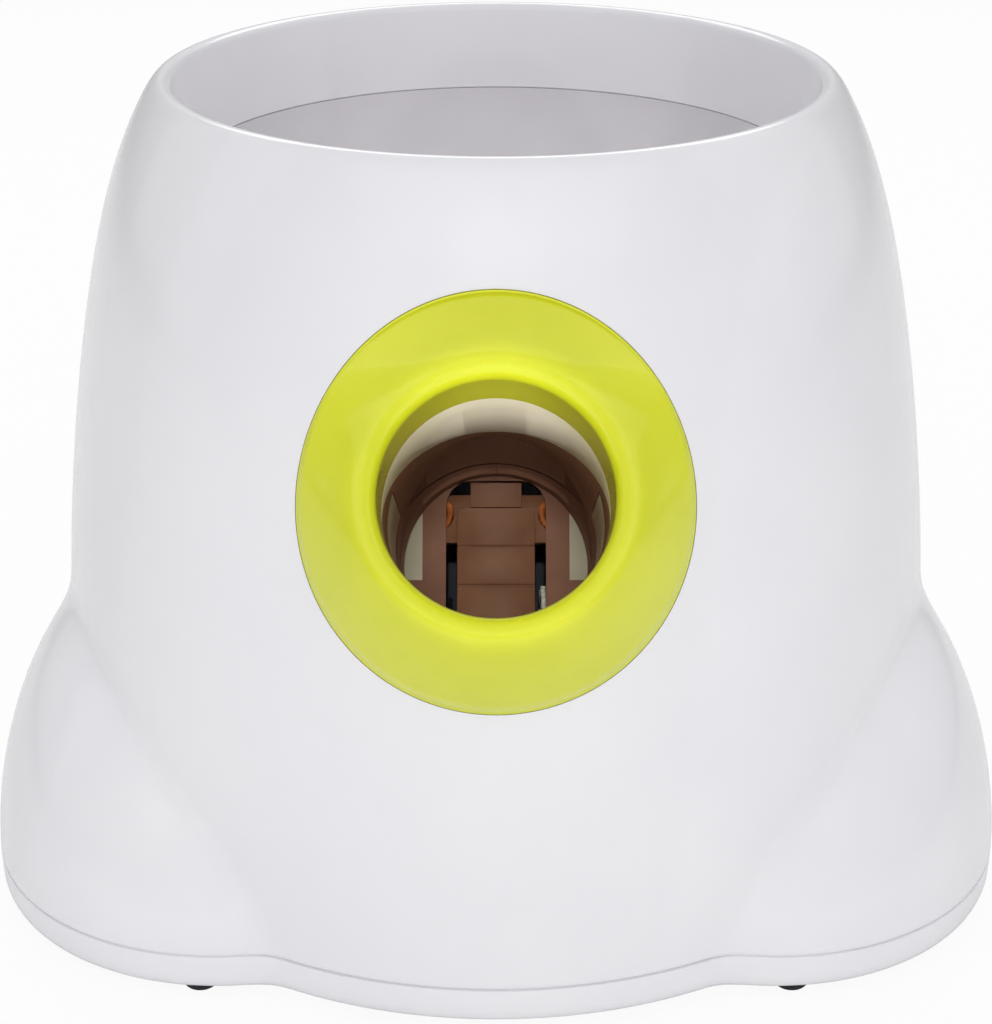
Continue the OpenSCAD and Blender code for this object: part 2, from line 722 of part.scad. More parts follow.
pressure_angle = 20;
tooth_play = 0.1;
hub_r = 5;
function roll(rb, r) = let (c = min(1, rb / r)) tan(acos(c)) * 180 / PI - acos(c);

function around(r, a) = r * [cos(a), sin(a)];

// Outline of one tooth of an involute gear
function tooth(teeth, at) =
    let (rp = gear_m * teeth / 2, rb = rp * cos(pressure_angle), tip = rp + 0.8 * gear_m,
         root = rp - 1.1 * gear_m, low = max(rb, root),
         half = 90 / teeth - tooth_play / rp * 180 / PI + roll(rb, rp),
         flank = [for (t = [0, 0.35, 0.7, 1]) let (r = low + (tip - low) * t) [r, half - roll(rb, r)]])
    concat([around(root, at - half)],
        [for (p = flank) around(p[0], at - p[1])],
        [for (i = [3 : -1 : 0]) around(flank[i][0], at + flank[i][1])],
        [around(root, at + half)]);

// A gear's outline; beyond the teeth that are present it shrinks to a blank radius
module gear_outline(teeth, turn, present = 999, blank = 0) {
    step = 360 / teeth;
    polygon([for (i = [0 : teeth - 1])
        each (i < present ? tooth(teeth, turn + i * step)
            : [for (t = [-0.3, 0, 0.3]) around(blank, turn + (i + t) * step)])]);
}

// The sector gear bears teeth only where it drives the rack over its stroke
sector_count = ceil(stroke / (PI * gear_m)) + 2;

module sector_gear() {
    color(cream) on_body() difference() {
        union() {
            translate([0, drive_at[0], drive_at[1]]) in_plane(-sector_w / 2, sector_w)
                gear_outline(sector_teeth, 90 - launch_angle - 360 / sector_teeth, sector_count, hub_r - 0.2);
            along_x(drive_at, -sector_w / 2 - 4, hub_r, sector_w + 8);
        }
        along_x(drive_at, -20, shaft_r + press_gap, 40);
    }
}

module output_gear() {
    color(cream) on_body() difference() {
        translate([0, drive_at[0], drive_at[1]]) in_plane(first_x, gear_w)
            gear_outline(wheel_teeth, idler_angle);
        along_x(drive_at, 0, shaft_r + press_gap, 40);
        for (a = [0 : 60 : 300]) along_x(drive_at + 10.5 * [cos(a), sin(a)], 0, 3, 40);
    }
}

module drive_shaft() {
    color(steel) on_body() along_x(drive_at, left_plate_x - cam_w - 2, shaft_r,
        outer_plate_x + plate_t - left_plate_x + cam_w + 2);
}

module switch_cam() {
    color(cream) on_body() difference() {
        along_x(drive_at, left_plate_x - cam_w - 0.6, cam_r, cam_w);
        along_x(drive_at, left_plate_x - 10, shaft_r + press_gap, 20);
        along_x(drive_at + [0, -cam_r - 0.5], left_plate_x - 10, 2, 20);
    }
}

module end_switch() {
    top = drive_at + [0, cam_r + 0.4];
    color("#222326") on_body() {
        translate([left_plate_x - 6.2, top[0] - 6.4, top[1] + 1]) cube([6, 12.8, 6]);
        translate([left_plate_x - 4, top[0] - 1, top[1]]) cube([2, 2, 2]);
    }
}

module idler_gear() {
    color(cream) on_body() difference() {
        union() {
            translate([0, idler_at[0], idler_at[1]]) in_plane(first_x, second_x - first_x)
                gear_outline(pinion_teeth, idler_angle + 180 + 180 / pinion_teeth);
            translate([0, idler_at[0], idler_at[1]]) in_plane(second_x, gear_w)
                gear_outline(wheel_teeth, motor_angle);
        }
        along_x(idler_at, 0, shaft_r + press_gap, 40);
    }
}

module idler_shaft() {
    color(steel) on_body() along_x(idler_at, inner_plate_x + 0.2, shaft_r,
        outer_plate_x + plate_t - inner_plate_x - 0.4);
}

module motor_pinion() {
    color("#c9a24a") on_body() {
        translate([0, motor_at[0], motor_at[1]]) in_plane(second_x, gear_w)
            gear_outline(pinion_teeth, motor_angle + 180 + 180 / pinion_teeth);
        along_x(motor_at, second_x + gear_w, motor_shaft_r, outer_plate_x - second_x - gear_w + 6);
    }
}

module motor() {
    face_x = outer_plate_x + plate_t + 0.1;
    color(steel) on_body() difference() {
        union() {
            along_x(motor_at, face_x, motor_r, motor_len);
            along_x(motor_at, outer_plate_x + 0.4, 4, plate_t);
            along_x(motor_at, face_x + motor_len, 4, 2);
            for (z = [-5, 5]) translate([face_x + motor_len, motor_at[0] - 0.4, motor_at[1] + z * 1.4 - 1.2])
                cube([3.5, 0.8, 2.4]);
        }
        along_x(motor_at, 0, motor_shaft_r + run_gap, outer_plate_x + 8);
    }
}

module gear_plate(x, places, reach) {
    low = stand_z;
    front = places[0][0];
    rear = places[len(places) - 1][0];
    difference() {
        union() {
            in_plane(x, plate_t) union() {
                for (p = places) translate(p) circle(r = reach);
                translate([front - reach, low]) square([rear - front + 2 * reach, places[0][1] - low]);
            }
            translate([x, front - reach, low]) cube([plate_t, rear - front + 2 * reach, 2]);
        }
        for (p = places) along_x(p, x - 1, shaft_r + run_gap, plate_t + 2);
    }
}

module gear_plate_inner() {
    color(dark) on_body() gear_plate(inner_plate_x, [drive_at, idler_at], 6);
}

module gear_plate_outer() {
    color(dark) on_body() difference() {
        union() {
            gear_plate(outer_plate_x, [drive_at, idler_at], 8);
            in_plane(outer_plate_x, plate_t) {
                translate(motor_at) circle(r = motor_r);
                translate([motor_at[0] - 16, stand_z]) square([24, motor_at[1] - stand_z]);
            }
        }
        along_x(motor_at, outer_plate_x - 1, 4.2, plate_t + 2);
        along_x(idler_at, outer_plate_x - 1, shaft_r + run_gap, plate_t + 2);
    }
}

module shaft_bracket() {
    color(dark) on_body() gear_plate(left_plate_x, [drive_at], 6);
}

// ---------- Battery ----------

module battery_box() {
    color(dark) on_body() translate([0, box_y, 0]) difference() {
        translate([-box_out[0] / 2, -box_out[1] / 2, stand_z])
            cube([box_out[0], box_out[1], box_roof + box_wall - stand_z]);
        translate([-box_in[0] / 2, -box_in[1] / 2, stand_z - 1])
            cube([box_in[0], box_in[1], box_roof - stand_z + 1]);
    }
}

function cell_place(i) = [(i % 3 - 1) * cell_pitch, box_y + (floor(i / 3) - 0.5) * cell_pitch];

module cell(i) {
    at = cell_place(i);
    color("#c8a04a") on_body() translate([at[0], at[1], cell_z]) {
        cylinder(r = cell_r, h = cell_len - 1.8);
        cylinder(r = 3.7, h = cell_len);
    }
}

module battery_contacts() {
    color("#d8d2b8") on_body() for (i = [0 : 2])
        translate([cell_place(i)[0] - 5, box_y - cell_pitch / 2 - 5, cell_top + 0.3])
            cube([10, cell_pitch + 10, contact_t]);
}

module battery_door() {
    color(white) on_body() {
        difference() {
            union() {
                translate([-door_w / 2, hinge_y, foot_h + 0.2])
                    cube([door_w, door_rear - hinge_y, door_t]);
                along_x([hinge_y, hinge_z], -door_w / 2, knuckle_r, door_w);
            }
            translate([-10, door_rear - 6, foot_h - 1]) cube([20, 3, 2]);
        }
        along_x([hinge_y, hinge_z], -door_w / 2 - door_pin_len, door_pin_r, door_w + 2 * door_pin_len);
    }
}

// ---------- Controls ----------

// A slab with round ends, lying across Z, grown by an allowance
module panel_slab(grow, depth) {
    r = panel_h / 2 + grow;
    linear_extrude(depth) {
        square([panel_w - panel_h, 2 * r], center = true);
        for (side = [-1, 1]) translate([side * (panel_w - panel_h) / 2, 0]) circle(r = r);
    }
}

// A band of the barrel's wall between two insets, over the panel's height
module wall_band(inset_in, inset_out) {
    low = panel_z - panel_h / 2 - 4;
    high = panel_z + panel_h / 2 + 4;
    rotate_extrude($fn = 180) polygon([
        [barrel(low) - inset_in, low], [barrel(low) - inset_out, low],
        [barrel(high) - inset_out, high], [barrel(high) - inset_in, high]]);
}

module behind(grow) {
    translate([0, panel_r - wall_reach / 2, panel_z]) rotate([-90, 0, 0]) panel_slab(grow, wall_reach);
}

lens_places = [-8, 0, 8];
lens_z = panel_z + panel_h / 2 - 3.6;

module control_panel() {
    color("#d7d8db") on_body() difference() {
        union() {
            intersection() { wall_band(shell_wall + 0.6, -0.5); behind(0); }
            intersection() { wall_band(flange_in, shell_wall + fit_gap); behind(3); }
            for (x = [-post_x, post_x])
                along_y(x, board_y + board_t, panel_z, 2.6, panel_r - 5.2 - board_y - board_t);
        }
        for (x = [-button_x, button_x]) along_y(x, board_y, button_z, button_r + 0.2, wall_reach);
        for (x = lens_places) along_y(x, board_y, lens_z, lens_r + 0.05, wall_reach);
        for (x = [-post_x, post_x]) along_y(x, board_y + board_t - 1, panel_z, 0.9, 9);
    }
}

module button(x) {
    front_y = panel_r + button_proud;
    collar_y = panel_r - flange_in - 2.2;
    stem_y = board_y + board_t + switch_h + button_travel + 0.2;
    color("#5c6066") on_body() {
        along_y(x, collar_y - 3, button_z, button_r, front_y - collar_y + 3);
        along_y(x, collar_y - 1.5, button_z, button_r + 1.2, 1.5);
        along_y(x, stem_y, button_z, 2, collar_y - stem_y);
    }
}

module indicator_lenses() {
    color("#7ac77a", 0.8) on_body() for (x = lens_places)
        along_y(x, sqrt(pow(panel_r - flange_in, 2) - x * x) - 0.6, lens_z, lens_r, flange_in + 0.8);
}

module control_board() {
    color("#2f6b43") on_body() difference() {
        union() {
            translate([-board_w / 2, board_y, panel_z - board_h / 2]) cube([board_w, board_t, board_h]);
            translate([-10, board_y - 2, panel_z - 8]) cube([12, 2, 12]);
            along_y(14, board_y - 8, panel_z + 4, 4, 8);
        }
        for (x = [-post_x, post_x]) along_y(x, board_y - 1, panel_z, 1.2, board_t + 2);
    }
}

module tact_switches() {
    color("#26272a") on_body() for (x = [-button_x, button_x])
        translate([x - 3, board_y + board_t, panel_z - 5]) cube([6, switch_h, 6]);
}

module board_screws() {
    color(steel) on_body() for (x = [-post_x, post_x]) {
        along_y(x, board_y - 1.4, panel_z, 2, 1.4);
        along_y(x, board_y - 0.7, panel_z, 0.85, 9);
    }
}

module dc_jack() {
    face_y = body_r(front_angle + 180, jack_z) + fit_gap;
    color("#1f2022") on_body() difference() {
        union() {
            along_y(0, face_y - 16, jack_z, jack_r, 16);
            along_y(0, face_y - 2 * shell_wall - 3.4, jack_z, jack_r + 2, shell_wall);
        }
        along_y(0, face_y - 10, jack_z, jack_bore_r, 12);
    }
    color(steel) on_body() along_y(0, face_y - 10.5, jack_z, 1, 9);
}

// ---------- Nodes ----------

upper_shell();
base_tray();
muzzle_ring();
hopper_half(-1);  // hopper_left
hopper_half(1);  // hopper_right
tube_hood();
tube_half(-1);  // tube_left
tube_half(1);  // tube_right
ir_window(-1);  // ir_window_left
ir_window(1);  // ir_window_right
ir_sensor(-1);  // ir_emitter
ir_sensor(1);  // ir_receiver
tube_cradle();
tube_screws();
striker_face();
striker_carriage();
guide_rods();
coil_spring(-rod_x);  // spring_left
coil_spring(rod_x);  // spring_right
spring_bracket();
gear_plate_inner();
gear_plate_outer();
shaft_bracket();
sector_gear();
output_gear();
drive_shaft();
switch_cam();
end_switch();
idler_gear();
idler_shaft();
motor();
motor_pinion();
battery_box();
battery_contacts();
battery_door();
cell(0);  // cell_1
cell(1);  // cell_2
cell(2);  // cell_3
cell(3);  // cell_4
cell(4);  // cell_5
cell(5);  // cell_6
control_panel();
button(-button_x);  // power_button
button(button_x);  // distance_button
indicator_lenses();
control_board();
tact_switches();
board_screws();
dc_jack();
foot(foot_places[0]);  // foot_1
foot(foot_places[1]);  // foot_2
foot(foot_places[2]);  // foot_3
foot(foot_places[3]);  // foot_4
foot(foot_places[4]);  // foot_5
foot(foot_places[5]);  // foot_6
case_screws();
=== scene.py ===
# Automatic ball launcher for dogs, dressed around its CAD frame.
# Shapes are worked out in millimetres, as in the CAD, and placed in metres.
import math

import bpy
from mathutils import Matrix, Vector


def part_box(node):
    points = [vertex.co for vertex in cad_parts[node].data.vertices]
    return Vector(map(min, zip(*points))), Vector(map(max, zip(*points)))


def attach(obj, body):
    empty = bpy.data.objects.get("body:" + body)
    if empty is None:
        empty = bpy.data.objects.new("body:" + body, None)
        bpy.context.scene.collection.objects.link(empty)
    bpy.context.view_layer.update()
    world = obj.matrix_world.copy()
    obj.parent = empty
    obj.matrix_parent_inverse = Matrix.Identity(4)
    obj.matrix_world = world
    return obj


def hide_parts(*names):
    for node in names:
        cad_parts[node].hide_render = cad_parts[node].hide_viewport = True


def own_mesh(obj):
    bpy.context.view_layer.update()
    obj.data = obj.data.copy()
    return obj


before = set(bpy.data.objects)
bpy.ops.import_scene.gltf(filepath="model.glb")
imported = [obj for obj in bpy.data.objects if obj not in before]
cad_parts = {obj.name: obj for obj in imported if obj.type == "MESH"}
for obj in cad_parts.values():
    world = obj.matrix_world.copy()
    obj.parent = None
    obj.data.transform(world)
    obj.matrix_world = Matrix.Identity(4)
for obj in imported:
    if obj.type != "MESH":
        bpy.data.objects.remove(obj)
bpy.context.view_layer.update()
print("frame loaded:", len(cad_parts), "CAD nodes")

mm = 0.001

# the body's own lines, as the CAD draws them

body = {
    "height": 225.0,
    "crestR": 90.0,
    "crestRound": 2.5,
    "barrelR": 126.5,
    "barrelLowZ": 30.0,
    "taper": 26.5,
    "shoulderDraw": 8.0,
    "wall": 2.6,
    "lobeReach": 86.8,
    "lobeR": 68.2,
    "lobeH": 95.2,
    "lobePower": 1.77,
    "lobeRoot": 1.45,
    "lobeDraw": 14.4,
    "lobeLean": 17.2,
    "creaseW": 7.0,
    "lobeSpan": 60.0,        # half the turn that one lobe may take
    "footDraw": 0.002,      # the barrel draws in again near the floor
    "skirtZ": 200.0,
    "bowlR": 83.3,
    "seamZ": 15.0,
    "seamGap": 0.6,
    "axisY": -9.34986,      # the barrel's axis, so that the box is centred on the origin
}
frontAngle = 270.0

axis = {
    "angle": 32.0,          # the tube points this far above the horizon
    "muzzleZ": 151.2,
    "muzzleY": 118.0,
    "boreR": 28.4,
    "wall": 2.6,
    "front": 28.3,
    "breech": 162.0,
    "breechT": 3.0,
}
axisCos = math.cos(math.radians(axis["angle"]))
axisSin = math.sin(math.radians(axis["angle"]))
tubeR = axis["boreR"] + axis["wall"]
wallBack = axis["breech"] + axis["breechT"]


def barrelR(z):
    rise = max(0.0, (z - body["barrelLowZ"]) / (body["height"] - body["barrelLowZ"]))
    low = max(0.0, body["barrelLowZ"] - z)
    drawn = body["taper"] * rise ** 2 + body["shoulderDraw"] * rise ** 10 + body["footDraw"] * low ** 2
    return body["barrelR"] - drawn


def bodyR(angle, z):
    # the barrel, and the three lobes that lean back and draw in as they rise
    rise = min(1.0, max(0.0, z - body["seamZ"]) / (body["lobeH"] - body["seamZ"])) ** body["lobePower"]
    lean = body["lobeSpan"] + body["lobeLean"] * rise
    off = min(abs((angle - frontAngle - lobe + 540) % 360 - 180) for lobe in (-lean, lean, 180))
    plain = barrelR(z)
    if z >= body["lobeH"] or off >= body["lobeSpan"]:
        return plain
    dome = body["lobeR"] * (1 - rise) ** (1 / body["lobeRoot"])
    reach = body["lobeReach"] + body["lobeDraw"] * rise
    across = dome ** 2 - (reach * math.sin(math.radians(off))) ** 2
    domed = reach * math.cos(math.radians(off)) + math.copysign(math.sqrt(abs(across)), across)
    near = max(0.0, body["creaseW"] - abs(plain - domed)) / body["creaseW"]
    return max(plain, domed) + near ** 3 * body["creaseW"] / 6


def axisPoint(depth, height=0.0):
    return (
        -axis["muzzleY"] + axisCos * depth + axisSin * height,
        axis["muzzleZ"] - axisSin * depth + axisCos * height,
    )


def onAxis(depth=0.0):
    # local +Z leaves the muzzle and local +Y stands square to the tube
    y, z = axisPoint(depth)
    place = Matrix.Translation(Vector((0, (y + body["axisY"]) * mm, z * mm)))
    return place @ Matrix.Rotation(math.radians(90 - axis["angle"]), 4, "X")


def spread(low, high, steps):
    return [low + (high - low) * i / steps for i in range(steps + 1)]


# small helpers for the bench work


def selectOnly(piece):
    for other in bpy.context.selected_objects:
        other.select_set(False)
    piece.select_set(True)
    bpy.context.view_layer.objects.active = piece


def named(name):
    piece = bpy.context.active_object
    piece.name = name
    piece.data.name = name
    return piece


def pickVerts(piece, wanted):
    # leaves edit mode with only the wanted vertices selected
    selectOnly(piece)
    bpy.ops.object.mode_set(mode="EDIT")
    bpy.ops.mesh.select_mode(type="VERT")
    bpy.ops.mesh.select_all(action="DESELECT")
    bpy.ops.object.mode_set(mode="OBJECT")
    for vert in piece.data.vertices:
        vert.select = wanted(vert.co)


def inEdit(piece, *steps):
    selectOnly(piece)
    bpy.ops.object.mode_set(mode="EDIT")
    for operator, settings in steps:
        operator(**settings)
    bpy.ops.object.mode_set(mode="OBJECT")


def normalsOut(piece):
    inEdit(
        piece,
        (bpy.ops.mesh.select_all, {"action": "SELECT"}),
        (bpy.ops.mesh.remove_doubles, {"threshold": 0.000002}),
        (bpy.ops.mesh.normals_make_consistent, {"inside": False}),
    )


def applied(piece, kind, **settings):
    modifier = piece.modifiers.new("work", kind)
    for key, value in settings.items():
        setattr(modifier, key, value)
    selectOnly(piece)
    bpy.ops.object.modifier_apply(modifier=modifier.name)
    return piece


def edged(piece, width, angle=50):
    # breaks every edge sharper than the angle
    return applied(
        piece, "BEVEL", width=width * mm, segments=2, limit_method="ANGLE", angle_limit=math.radians(angle),
    )


def settled(piece):
    # the place goes into the mesh and the object ends at the origin
    selectOnly(piece)
    bpy.ops.object.transform_apply(location=True, rotation=True, scale=True)
    return piece


def cut(piece, cutter, operation="DIFFERENCE"):
    applied(piece, "BOOLEAN", operation=operation, solver="EXACT", object=cutter)
    bpy.data.objects.remove(cutter, do_unlink=True)
    return piece


def joined(name, pieces):
    for other in bpy.context.selected_objects:
        other.select_set(False)
    for piece in pieces:
        piece.select_set(True)
    bpy.context.view_layer.objects.active = pieces[0]
    bpy.ops.object.join()
    return named(name)


def loopSkin(name, sections):
    # a grid pulled to its true places: one column for each turn step, one row for each point of a section
    around, rows = len(sections), len(sections[0])
    bpy.ops.mesh.primitive_grid_add(x_subdivisions=around, y_subdivisions=rows, size=2)
    piece = named(name)
    for vert in piece.data.vertices:
        column = round((vert.co.x + 1) / 2 * around) % around
        row = round((vert.co.y + 1) / 2 * rows) % rows
        vert.co = sections[column][row]
    normalsOut(piece)
    return piece


def bodySkin(name, around, section):
    # a skin whose section, a list of (radius, height), changes as it goes round the barrel's axis
    sections = []
    for i in range(around):
        angle = frontAngle + 360 * i / around
        turn = math.radians(angle)
        sections.append([
            Vector((r * math.cos(turn), r * math.sin(turn) + body["axisY"], z)) * mm
            for r, z in section(angle)
        ])
    return loopSkin(name, sections)


def turned(name, profile, place, around=64):
    # a lathe profile of (radius, height) points, closed, turned about the place's +Z
    sections = []
    for i in range(around):
        angle = 2 * math.pi * i / around
        sections.append([Vector((r * math.cos(angle), r * math.sin(angle), z)) * mm for r, z in profile])
    piece = loopSkin(name, sections)
    piece.matrix_world = place
    return settled(piece)


def rod(radius, length, place, sides=64):
    # a cylinder that starts at the place's origin and runs along its +Z
    bpy.ops.mesh.primitive_cylinder_add(vertices=sides, radius=radius * mm, depth=length * mm)
    piece = bpy.context.active_object
    piece.matrix_world = place @ Matrix.Translation(Vector((0, 0, length / 2 * mm)))
    return piece


def block(size, place):
    bpy.ops.mesh.primitive_cube_add(size=1)
    piece = bpy.context.active_object
    piece.matrix_world = place @ Matrix.Diagonal(Vector([s * mm for s in size])).to_4x4()
    return piece


def shifted(x, y, z):
    return Matrix.Translation(Vector((x, y, z)) * mm)


def alongX(x, y, z):
    return shifted(x, y + body["axisY"], z) @ Matrix.Rotation(math.radians(90), 4, "Y")


def alongY(x, y, z):
    return shifted(x, y + body["axisY"], z) @ Matrix.Rotation(math.radians(-90), 4, "X")


def upright(x, y, z):
    return shifted(x, y + body["axisY"], z)


# finishes


def linear(code):
    parts = [int(code[i:i + 2], 16) / 255 for i in (1, 3, 5)]
    return [p / 12.92 if p <= 0.04045 else ((p + 0.055) / 1.055) ** 2.4 for p in parts] + [1.0]


def addNode(tree, kind, settings=None, links=None):
    node = tree.nodes.new(kind)
    for key, value in (settings or {}).items():
        if key in node.inputs:
            node.inputs[key].default_value = value
        else:
            setattr(node, key, value)
    for key, source in (links or {}).items():
        tree.links.new(source, node.inputs[key])
    return node


def seenStraight(tree):
    # 1 for a ray from the camera or through a clear piece, 0 for light that bounces
    path = addNode(tree, "ShaderNodeLightPath")
    return addNode(
        tree, "ShaderNodeMath", {"operation": "MAXIMUM"},
        {0: path.outputs["Is Camera Ray"], 1: path.outputs["Is Transmission Ray"]},
    )


def rampStops(node, stops):
    elements = node.color_ramp.elements
    while len(elements) > len(stops):
        elements.remove(elements[-1])
    while len(elements) < len(stops):
        elements.new(1.0)
    for element, (place, colour) in zip(elements, stops):
        element.position = place
        element.color = colour


def newFinish(name):
    finish = bpy.data.materials.new(name)
    finish.use_nodes = True
    finish.node_tree.nodes.clear()
    return finish, finish.node_tree


def mouldedFinish(name, spec):
    # injection-moulded plastic: a faint drift of tone through the melt, a skin grain,
    # and a breath of handling in the gloss
    finish, tree = newFinish(name)
    coord = addNode(tree, "ShaderNodeTexCoord")
    drift = addNode(
        tree, "ShaderNodeTexNoise",
        {"Scale": 1 / (spec["driftSize"] * mm), "Detail": 3.0},
        {"Vector": coord.outputs["Object"]},
    )
    tone = addNode(tree, "ShaderNodeValToRGB", links={"Fac": drift.outputs["Fac"]})
    rampStops(tone, [(0.3, linear(spec["deep"])), (0.7, linear(spec["colour"]))])
    grain = addNode(
        tree, "ShaderNodeTexNoise",
        {"Scale": 1 / (spec["grainSize"] * mm), "Detail": 2.0},
        {"Vector": coord.outputs["Object"]},
    )
    handling = addNode(
        tree, "ShaderNodeTexNoise",
        {"Scale": 1 / (24 * mm), "Detail": 4.0, "Roughness": 0.6},
        {"Vector": coord.outputs["Object"]},
    )
    gloss = addNode(
        tree, "ShaderNodeMapRange",
        {"From Min": 0.3, "From Max": 0.75, "To Min": spec["roughness"],
         "To Max": spec["roughness"] + spec["roughSpread"]},
        {"Value": handling.outputs["Fac"]},
    )
    bump = addNode(
        tree, "ShaderNodeBump",
        {"Strength": spec["bump"], "Distance": spec["bumpDepth"] * mm},
        {"Height": grain.outputs["Fac"]},
    )
    shader = addNode(
        tree, "ShaderNodeBsdfPrincipled",
        {"IOR": spec["ior"], "Coat Weight": spec.get("coat", 0.0), "Coat Roughness": 0.05,
         "Subsurface Weight": spec.get("subsurface", 0.0), "Subsurface Scale": 2 * mm,
         "Transmission Weight": spec.get("transmission", 0.0)},
        {"Base Color": tone.outputs["Color"], "Roughness": gloss.outputs["Result"],
         "Normal": bump.outputs["Normal"]},
    )
    addNode(tree, "ShaderNodeOutputMaterial", links={"Surface": shader.outputs["BSDF"]})
    return finish


def metalFinish(name, spec):
    # drawn or turned metal: fine lines that run round or along the part, with a little tarnish
    finish, tree = newFinish(name)
    coord = addNode(tree, "ShaderNodeTexCoord")
    squeeze = addNode(
        tree, "ShaderNodeMapping",
        {"Scale": [1 / (s * mm) for s in spec["lineSize"]]}, {"Vector": coord.outputs["Object"]},
    )
    lines = addNode(
        tree, "ShaderNodeTexNoise", {"Scale": 1.0, "Detail": 3.0}, {"Vector": squeeze.outputs["Vector"]},
    )
    tarnish = addNode(
        tree, "ShaderNodeTexNoise", {"Scale": 1 / (8 * mm), "Detail": 4.0},
        {"Vector": coord.outputs["Object"]},
    )
    tone = addNode(tree, "ShaderNodeValToRGB", links={"Fac": tarnish.outputs["Fac"]})
    rampStops(tone, [(0.32, linear(spec["deep"])), (0.6, linear(spec["colour"]))])
    gloss = addNode(
        tree, "ShaderNodeMapRange",
        {"From Min": 0.3, "From Max": 0.7, "To Min": spec["roughness"],
         "To Max": spec["roughness"] + 0.12},
        {"Value": lines.outputs["Fac"]},
    )
    bump = addNode(
        tree, "ShaderNodeBump", {"Strength": 0.25, "Distance": 0.02 * mm},
        {"Height": lines.outputs["Fac"]},
    )
    shader = addNode(
        tree, "ShaderNodeBsdfPrincipled", {"Metallic": 1.0},
        {"Base Color": tone.outputs["Color"], "Roughness": gloss.outputs["Result"],
         "Normal": bump.outputs["Normal"]},
    )
    addNode(tree, "ShaderNodeOutputMaterial", links={"Surface": shader.outputs["BSDF"]})
    return finish


def sleeveFinish(name, spec):
    # a battery's shrink sleeve: bands by height over the steel can, crinkled a little where it shrank
    finish, tree = newFinish(name)
    coord = addNode(tree, "ShaderNodeTexCoord")
    split = addNode(tree, "ShaderNodeSeparateXYZ", links={"Vector": coord.outputs["Object"]})
    height = addNode(
        tree, "ShaderNodeMapRange", {"From Min": spec["low"] * mm, "From Max": spec["high"] * mm},
        {"Value": split.outputs["Z"]},
    )
    tone = addNode(tree, "ShaderNodeValToRGB", links={"Fac": height.outputs["Result"]})
    tone.color_ramp.interpolation = "CONSTANT"
    span = spec["high"] - spec["low"]
    rampStops(tone, [((z - spec["low"]) / span, linear(colour)) for z, colour in spec["bands"]])
    crinkle = addNode(
        tree, "ShaderNodeTexNoise", {"Scale": 1 / (2.2 * mm), "Detail": 3.0},
        {"Vector": coord.outputs["Object"]},
    )
    gloss = addNode(
        tree, "ShaderNodeMapRange", {"To Min": spec["roughness"], "To Max": spec["roughness"] + 0.15},
        {"Value": crinkle.outputs["Fac"]},
    )
    bump = addNode(
        tree, "ShaderNodeBump", {"Strength": 0.2, "Distance": 0.05 * mm},
        {"Height": crinkle.outputs["Fac"]},
    )
    shader = addNode(
        tree, "ShaderNodeBsdfPrincipled", {"Metallic": 0.5, "IOR": 1.5},
        {"Base Color": tone.outputs["Color"], "Roughness": gloss.outputs["Result"],
         "Normal": bump.outputs["Normal"]},
    )
    addNode(tree, "ShaderNodeOutputMaterial", links={"Surface": shader.outputs["BSDF"]})
    return finish


# High-gloss white ABS from a polished mould: clean reflections with the faint waver of a moulded skin.
shellWhite = mouldedFinish("ABS_gloss_white", {
    "colour": "#ECEBEF", "deep": "#E7E6EB", "driftSize": 60,
    "grainSize": 2.4, "bump": 0.05, "bumpDepth": 0.06,
    "roughness": 0.16, "roughSpread": 0.07, "ior": 1.53, "coat": 0.35,
})
# The hopper is the same ABS with a finer, duller mould skin, where balls rub it.
bowlWhite = mouldedFinish("ABS_satin_white", {
    "colour": "#DEDBDF", "deep": "#D6D3D8", "driftSize": 40,
    "grainSize": 1.1, "bump": 0.12, "bumpDepth": 0.06,
    "roughness": 0.34, "roughSpread": 0.12, "ior": 1.53,
})
# Yellow-green ABS, gloss-moulded: saturated body colour that deepens where it turns away.
ringLime = mouldedFinish("ABS_gloss_lime", {
    "colour": "#D8DC2C", "deep": "#CFD422", "driftSize": 30,
    "grainSize": 2.0, "bump": 0.04, "bumpDepth": 0.06,
    "roughness": 0.14, "roughSpread": 0.06, "ior": 1.53, "coat": 0.4, "subsurface": 0.12,
})
# Smoke-brown polycarbonate: a dark, deep-looking tube, dulled by the balls that run through it.
tubeSmoke = mouldedFinish("polycarbonate_smoke", {
    "colour": "#86604C", "deep": "#76523F", "driftSize": 22,
    "grainSize": 1.6, "bump": 0.05, "bumpDepth": 0.05,
    "roughness": 0.42, "roughSpread": 0.1, "ior": 1.45,
})
# The same smoke plastic in the striker, rubbed dull by the balls it hits.
strikerBrown = mouldedFinish("polycarbonate_smoke_rubbed", {
    "colour": "#80593F", "deep": "#704A33", "driftSize": 12,
    "grainSize": 0.9, "bump": 0.12, "bumpDepth": 0.06,
    "roughness": 0.3, "roughSpread": 0.18, "ior": 1.585,
})
# Light grey ABS of the tube's hood.
hoodGrey = mouldedFinish("ABS_grey_hood", {
    "colour": "#DDD5C2", "deep": "#D1C8B4", "driftSize": 20,
    "grainSize": 1.0, "bump": 0.1, "bumpDepth": 0.05,
    "roughness": 0.55, "roughSpread": 0.12, "ior": 1.45,
})
# Painted light: a polished grey-green that stands for the tube's side walls lit from the muzzle, laid on
# the side-wall panes and the breech-wall panes.
paintedLightGreyGreen = mouldedFinish("painted_light_grey_green", {
    "colour": "#BDB698", "deep": "#AFA88B", "driftSize": 16,
    "grainSize": 1.4, "bump": 0.03, "bumpDepth": 0.04,
    "roughness": 0.3, "roughSpread": 0.08, "ior": 1.49, "transmission": 0.1,
})
